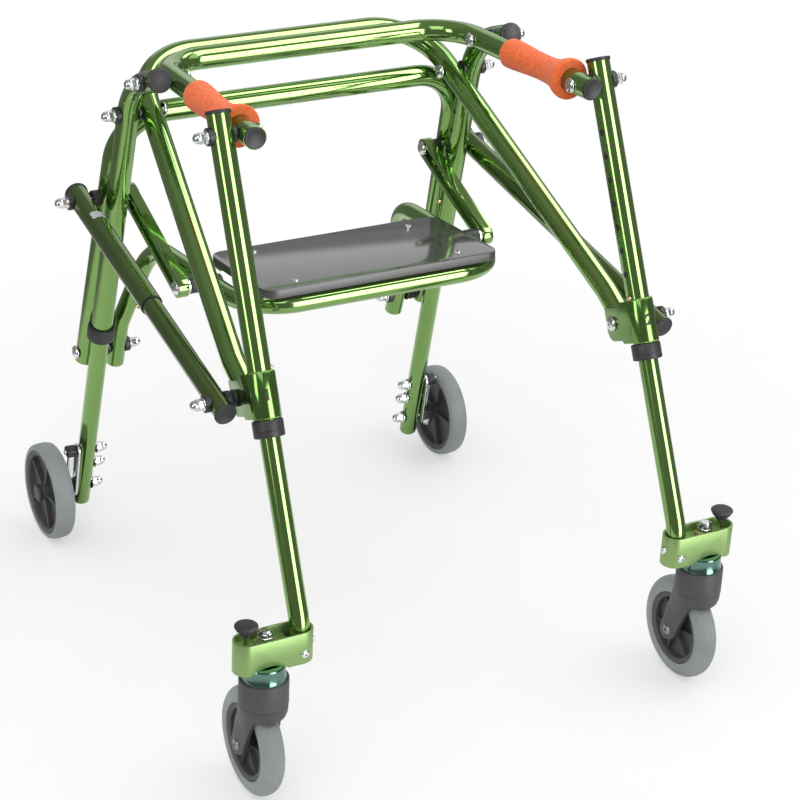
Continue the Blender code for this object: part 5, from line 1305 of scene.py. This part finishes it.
def make_caster_arms():
    """Race-track arm on the foot of the leg, its cross plate, bearing cup and bolts."""
    place = Matrix.Translation((0, CASTER_Y, 0))
    inner_x, half = LEG_BEND_X - ARM_R, ARM_R - ARM_WALL
    shell = prism(stadium(inner_x, ARM_OUTER_X, ARM_R, 20), ARM_BOTTOM, ARM_TOP, place)
    hollow = stadium(inner_x + ARM_WALL, ARM_OUTER_X - ARM_WALL, half, 20)
    hollow = prism(hollow, ARM_BOTTOM - 0.01, ARM_TOP + 0.01, place)
    scallop_r = 0.0350
    rise = Vector((CASTER_X, CASTER_Y - 0.025, ARM_BOTTOM + ARM_RISE - scallop_r))
    scallop = lathe([(0, 0), (scallop_r, 0), (scallop_r, 0.05), (0, 0.05)], aimed(rise, Vector((0, 1, 0))), 64)
    shell = eased(cut(shell, hollow, scallop), 0.0005)
    overlap = half + ARM_WALL / 2
    outline = [(0.2490, -overlap)] + arc((ARM_OUTER_X - ARM_R, 0), overlap, -90, 90, 16) + [(0.2490, overlap)]
    cross = prism(outline, ARM_PLATE_TOP - ARM_WALL, ARM_PLATE_TOP, place)
    pair("caster_arm_shell", joined(shell, cross), SATIN, "front_lower_leg", "caster_arm")

    low, waist, tube_r = NECK_TOP + SEAT_GAP, CUP_R * 0.65, half - ARM_WALL / 6
    cup = [(0.0064, low), (0.0064, ARM_PLATE_TOP), (tube_r, ARM_PLATE_TOP - 0.0014), (tube_r, CUP_TOP),
           (waist, CUP_TOP), (CUP_R - 0.0045, CUP_TOP - 0.0006), (CUP_R - 0.0036, CUP_TOP - 0.0020),
           (CUP_R - 0.0036, low + 0.0050), (CUP_R - 0.0028, low + 0.0030), (CUP_R - 0.0024, low + 0.0006),
           (CUP_R - 0.0030, low)]
    # The cup's dark zinc colour is painted shade.
    pair("bearing_cup", lathe(cup, on_swivel(), 64, ring=True), ZINC, "front_lower_leg")
    front = (Vector((LEG_BEND_X, CASTER_Y - ARM_R, 0.1800)), Vector((0, -1, 0)))
    inner = (Vector((inner_x, CASTER_Y, 0.1875)), -ACROSS)
    bolts = scattered(dome_head_shape(0.0046, 0.0022, 0.0016), [front, inner], CHROME)
    pair("arm_bolts", bolts, CHROME, "front_lower_leg")


def make_pull_knobs():
    """Mushroom knob on a fluted cone, with its steel pin showing below."""
    place, bottom = Matrix.Translation((KNOB_X, CASTER_Y, KNOB_TOP)), KNOB_PIN_LOW - KNOB_TOP
    crown = [(KNOB_R * 0.92 * sin(a), -0.0009 * (1 - cos(a))) for a in quarter_turn(4, 0)]
    profile = crown + [(KNOB_R, -0.0018), (KNOB_R, -0.0030), (KNOB_R * 0.93, -0.0038), (KNOB_R * 0.74, -0.0046),
                       (KNOB_R * 0.64, -0.0075), (KNOB_R * 0.52, -0.0122), (KNOB_R * 0.47, -0.0126), (0, -0.0126)]
    flute = box((KNOB_R * 0.45, -0.0006, -0.0072), (KNOB_R * 0.84, 0.0006, -0.0034))
    knob = joined(lathe(profile, place, 48), radial(flute, 18, BLACK, place))
    pair("knob_mushroom", knob, BLACK, "pull_knob", "pull_knob")
    pin = [(0, bottom), (KNOB_PIN_R * 0.8, bottom), (KNOB_PIN_R, bottom + 0.0006), (KNOB_PIN_R, -0.0120),
           (0, -0.0120)]
    pair("knob_pin", lathe(pin, place, 24), CHROME, "pull_knob")


def fork_cheek(side):
    """One side of the fork: the neck's own round above, drawn down to the boss at the axle."""
    axle, sections, count = CASTER_AXLE, [], 18
    outer_face = FORK_INNER + FORK_PLATE
    high = Vector((0, CASTER_Y, 0.1290))
    run = Vector((0, axle.y, axle.z)) - high
    neck_half = sqrt(NECK_R**2 - FORK_INNER**2)
    levels = [(step / 16, step / 16, 1.0) for step in range(17)]
    levels += [(1.0 + FORK_BOSS_R * sin(a) / run.length, 1.0, max(cos(a), 0.10)) for a in quarter_turn(6)]
    for reach, t, close in levels:
        blend = t * t * (3 - 2 * t)
        half = (neck_half + (FORK_BOSS_R - neck_half) * min(1.0, t * 1.15) ** 0.75) * close
        ring = []
        for step in range(count + 1):
            s = -1 + 2 * step / count
            round_x = sqrt(max(NECK_R**2 - (s * neck_half) ** 2, FORK_INNER**2))
            flat_x = outer_face - 0.0012 * abs(s) ** 4
            ring.append((round_x + (flat_x - round_x) * min(1.0, blend * 1.6), s * half))
        ring += [(FORK_INNER - 0.0001, half), (FORK_INNER - 0.0001, -half)]
        centre = high + run * reach
        sections.append([centre + Vector((CASTER_X + side * x, y, 0)) for x, y in ring])
    return loft(sections)


def make_caster_forks():
    neck = [(0, NECK_TOP), (NECK_R - 0.0012, NECK_TOP), (NECK_R - 0.0003, NECK_TOP - 0.0004),
            (NECK_R, NECK_TOP - 0.0012), (NECK_R + 0.0003, 0.1246), (NECK_R - 0.0005, 0.1240), (NECK_R, 0.1234),
            (NECK_R - 0.0004, 0.1150), (NECK_R - 0.0020, 0.1100), (NECK_R - 0.0050, 0.1075), (0, 0.1065)]
    room_r = WHEEL_R + 0.0030
    wheel_room = [(0, -FORK_INNER), (room_r, -FORK_INNER), (room_r, FORK_INNER), (0, FORK_INNER)]
    neck = cut(lathe(neck, on_swivel(), 72), lathe(wheel_room, aimed(CASTER_AXLE, ACROSS), 72))
    cheeks = [fork_cheek(side) for side in (-1, 1)]
    pair("fork_moulding", joined(neck, *cheeks), DARK, "caster_fork", "caster_fork", radians(38))

    stem_low, thick, washer_low, crown_r = NECK_TOP - 0.004, 0.0027, ARM_PLATE_TOP + SEAT_GAP, STEM_R + 0.0003
    nut_low = washer_low + thick
    stem = [(0, stem_low), (STEM_R, stem_low), (STEM_R, STEM_TOP - 0.0008), (STEM_R * 0.8, STEM_TOP),
            (0, STEM_TOP)]
    body = prism(hexagon(0.0095), nut_low, nut_low + 0.0066, on_swivel())
    crown = [(crown_r, 0.0060), (0.0080, 0.0060), (0.0080, 0.0104), (0.0072, 0.0110), (crown_r, 0.0110)]
    crown = lathe(crown, on_swivel(nut_low), 36, ring=True)
    notch = box((0.003, -0.0012, 0.0072), (0.010, 0.0012, 0.0130))
    crown = cut(crown, radial(notch, 6, CHROME, on_swivel(nut_low), radians(30)))
    pair("castle_nut", joined(lathe(stem, on_swivel(), 28), eased(body, 0.0005), crown), CHROME, "caster_fork")
    washer = [(STEM_R, 0), (0.0102, 0), (0.0105, 0.0004), (0.0105, 0.0022), (0.0100, thick), (STEM_R, thick)]
    pair("stem_washer", lathe(washer, on_swivel(washer_low), 36, ring=True), BRASS, "caster_fork")
    face = FORK_INNER + FORK_PLATE
    small = dome_head_shape(0.0064, 0.0026, 0.0022)
    axle_heads = [on_x(small, CASTER_AXLE, CASTER_X + side * (face - SEAT_GAP), side) for side in (-1, 1)]
    axle = joined(*axle_heads, shank(CASTER_AXLE, CASTER_X - face, CASTER_X + face, AXLE_R))
    pair("caster_axle_bolt", axle, DULL, "caster_fork")


def make_caster_wheels():
    place = aimed(CASTER_AXLE, ACROSS)
    tread, boss = lathe(tyre_profile(), place, 96, ring=True), FORK_INNER - SEAT_GAP
    pair("caster_tyre_tread", tread, TYRE, "caster_wheel", "caster_tyre")
    pair("caster_hub_moulding", moved(hub_shape(-boss, boss), place), DARK, "caster_wheel", "caster_hub")


for make in (
    make_hoop, make_uprights, make_upright_pivots, make_rear_legs, make_wheel_brackets, make_rear_wheels,
    make_front_legs, make_knuckle_brackets, make_numbers, make_leg_pivots, make_inner_legs, make_handle_bar,
    make_grips, make_diagonal_brace, make_side_braces, make_label, make_seat_frame, make_seat_board,
    make_seat_pivots, make_seat_links, make_caster_arms, make_pull_knobs, make_caster_forks, make_caster_wheels,
):
    make()


# Floor, light and camera


def make_floor():
    """Round pale floor that fades into the white surround."""
    made = Finish("pale_floor")
    across = made.node("ShaderNodeVectorMath", {"operation": "LENGTH"}, {0: made.place}, out=1)
    grain = made.noise(6.0, 3.0)
    colour = made.mix(grain.step(0.2, 0.8), (0.90, 0.90, 0.90), (0.93, 0.93, 0.93))
    plain = made.node("ShaderNodeBsdfPrincipled", {}, {"Base Color": colour, "Roughness": 0.85})
    white = made.node("ShaderNodeEmission", {}, {"Color": (1, 1, 1, 1), "Strength": 1.0})
    clear = made.node("ShaderNodeBsdfTransparent")
    camera_ray = made.node("ShaderNodeLightPath").output("Is Camera Ray")
    rim = across.step(0.75, 1.15)
    beyond = made.node("ShaderNodeMixShader", {}, {0: camera_ray, 1: clear, 2: white})
    lit = made.node("ShaderNodeMixShader", {}, {0: camera_ray * 0.45, 1: plain, 2: white})
    surface = made.node("ShaderNodeMixShader", {}, {0: rim, 1: lit, 2: beyond})
    made.node("ShaderNodeOutputMaterial", {}, {"Surface": surface})
    disc = bmesh.new()
    bmesh.ops.create_circle(disc, cap_ends=True, radius=1.2, segments=96)
    floor = bpy.data.objects.new("floor", mesh_of(disc))
    floor.data.materials.append(made.material)
    bpy.context.scene.collection.objects.link(floor)


def make_surround():
    """White studio, which metal sees as dark walls with tall lights, one overhead and a pale back wall."""
    world = bpy.context.scene.world or bpy.data.worlds.new("studio")
    bpy.context.scene.world = world
    world.use_nodes = True
    tree = Tree(world.node_tree)
    ray = tree.node("ShaderNodeTexCoord").output("Generated")
    parts = tree.node("ShaderNodeSeparateXYZ", {}, {0: ray})
    x, y, z = parts, parts.output(1), parts.output(2)
    flat = (x * x + y * y + 0.0001) ** 0.5

    def band(angle, inner, outer):
        """1 within the inner angle of a direction that lies angle from -Y towards +X."""
        facing = (x * sin(radians(angle)) - y * cos(radians(angle))) / flat
        return facing.step(cos(radians(outer)), cos(radians(inner)))

    def between(value, low, high, soft):
        return value.step(low - soft, low + soft) * (1 - value.step(high - soft, high + soft))

    front = band(20, 13, 18) * z.step(-0.45, -0.08) * (1 - z.step(0.45, 0.52)) * 7.0
    left = band(-72, 6, 10) * between(z, 0.10, 0.52, 0.04) * 6.0
    over = between(x, 0.36, 0.60, 0.03) * between(y, -0.48, 0.18, 0.03) * z.step(0.5, 0.6) * 5.5
    over = over + between(x, 0.60, 0.86, 0.03) * between(y, 0.12, 0.32, 0.03) * z.step(0.3, 0.4) * 5.0
    back = band(147, 20, 34) * between(z, 0.09, 0.62, 0.05) * 0.62
    walls = 0.22 + z.step(0.4, 0.8) * 0.12 + front + left + over + back
    path_kind = tree.node("ShaderNodeLightPath")
    mirrored = path_kind.output("Is Glossy Ray") + path_kind.output("Is Transmission Ray")
    dull = 0.44 + z.step(0.0, 0.6) * 0.56
    seen = path_kind.output("Is Camera Ray")
    strength = seen + (1 - seen) * (dull + (walls - dull) * mirrored.step(0, 1))
    background = tree.node("ShaderNodeBackground", {}, {"Color": (1, 1, 1, 1), "Strength": strength})
    tree.node("ShaderNodeOutputWorld", {}, {"Surface": background})


def make_lamp(name, position, target, size, power):
    data = bpy.data.lights.new(name, "AREA")
    data.shape, data.size, data.size_y, data.energy = "RECTANGLE", size[0], size[1], power
    lamp = bpy.data.objects.new(name, data)
    turn = (Vector(target) - Vector(position)).to_track_quat("-Z", "Y")
    lamp.matrix_world = Matrix.Translation(position) @ turn.to_matrix().to_4x4()
    bpy.context.scene.collection.objects.link(lamp)


def make_camera():
    """The photograph's viewpoint, solved from the two sides of the frame."""
    azimuth, elevation, roll = radians(-29.681), radians(27.174), radians(3.04)
    back = Vector((sin(azimuth) * cos(elevation), -cos(azimuth) * cos(elevation), sin(elevation)))
    right = (-back).cross(AXIS_Z).normalized()
    up = right.cross(-back)
    turned_right = right * cos(roll) + up * sin(roll)
    turned_up = up * cos(roll) - right * sin(roll)
    data = bpy.data.cameras.new("camera")
    data.sensor_width, data.lens = 36.0, 36.0 * 2389.5 / 800
    data.clip_start, data.clip_end = 0.05, 50
    camera = bpy.data.objects.new("camera", data)
    camera.matrix_world = axes_at((-1.1867, -2.1698, 1.5430), turned_right, turned_up, back)
    bpy.context.scene.collection.objects.link(camera)
    bpy.context.scene.camera = camera


make_floor()
make_surround()
make_lamp("key", (-0.9, -1.3, 2.3), (0, 0, 0.3), (1.4, 1.4), 12)
make_lamp("fill", (1.4, -0.6, 1.9), (0, 0, 0.3), (1.2, 1.2), 5)
make_camera()
bpy.context.scene.view_settings.view_transform = "Standard"
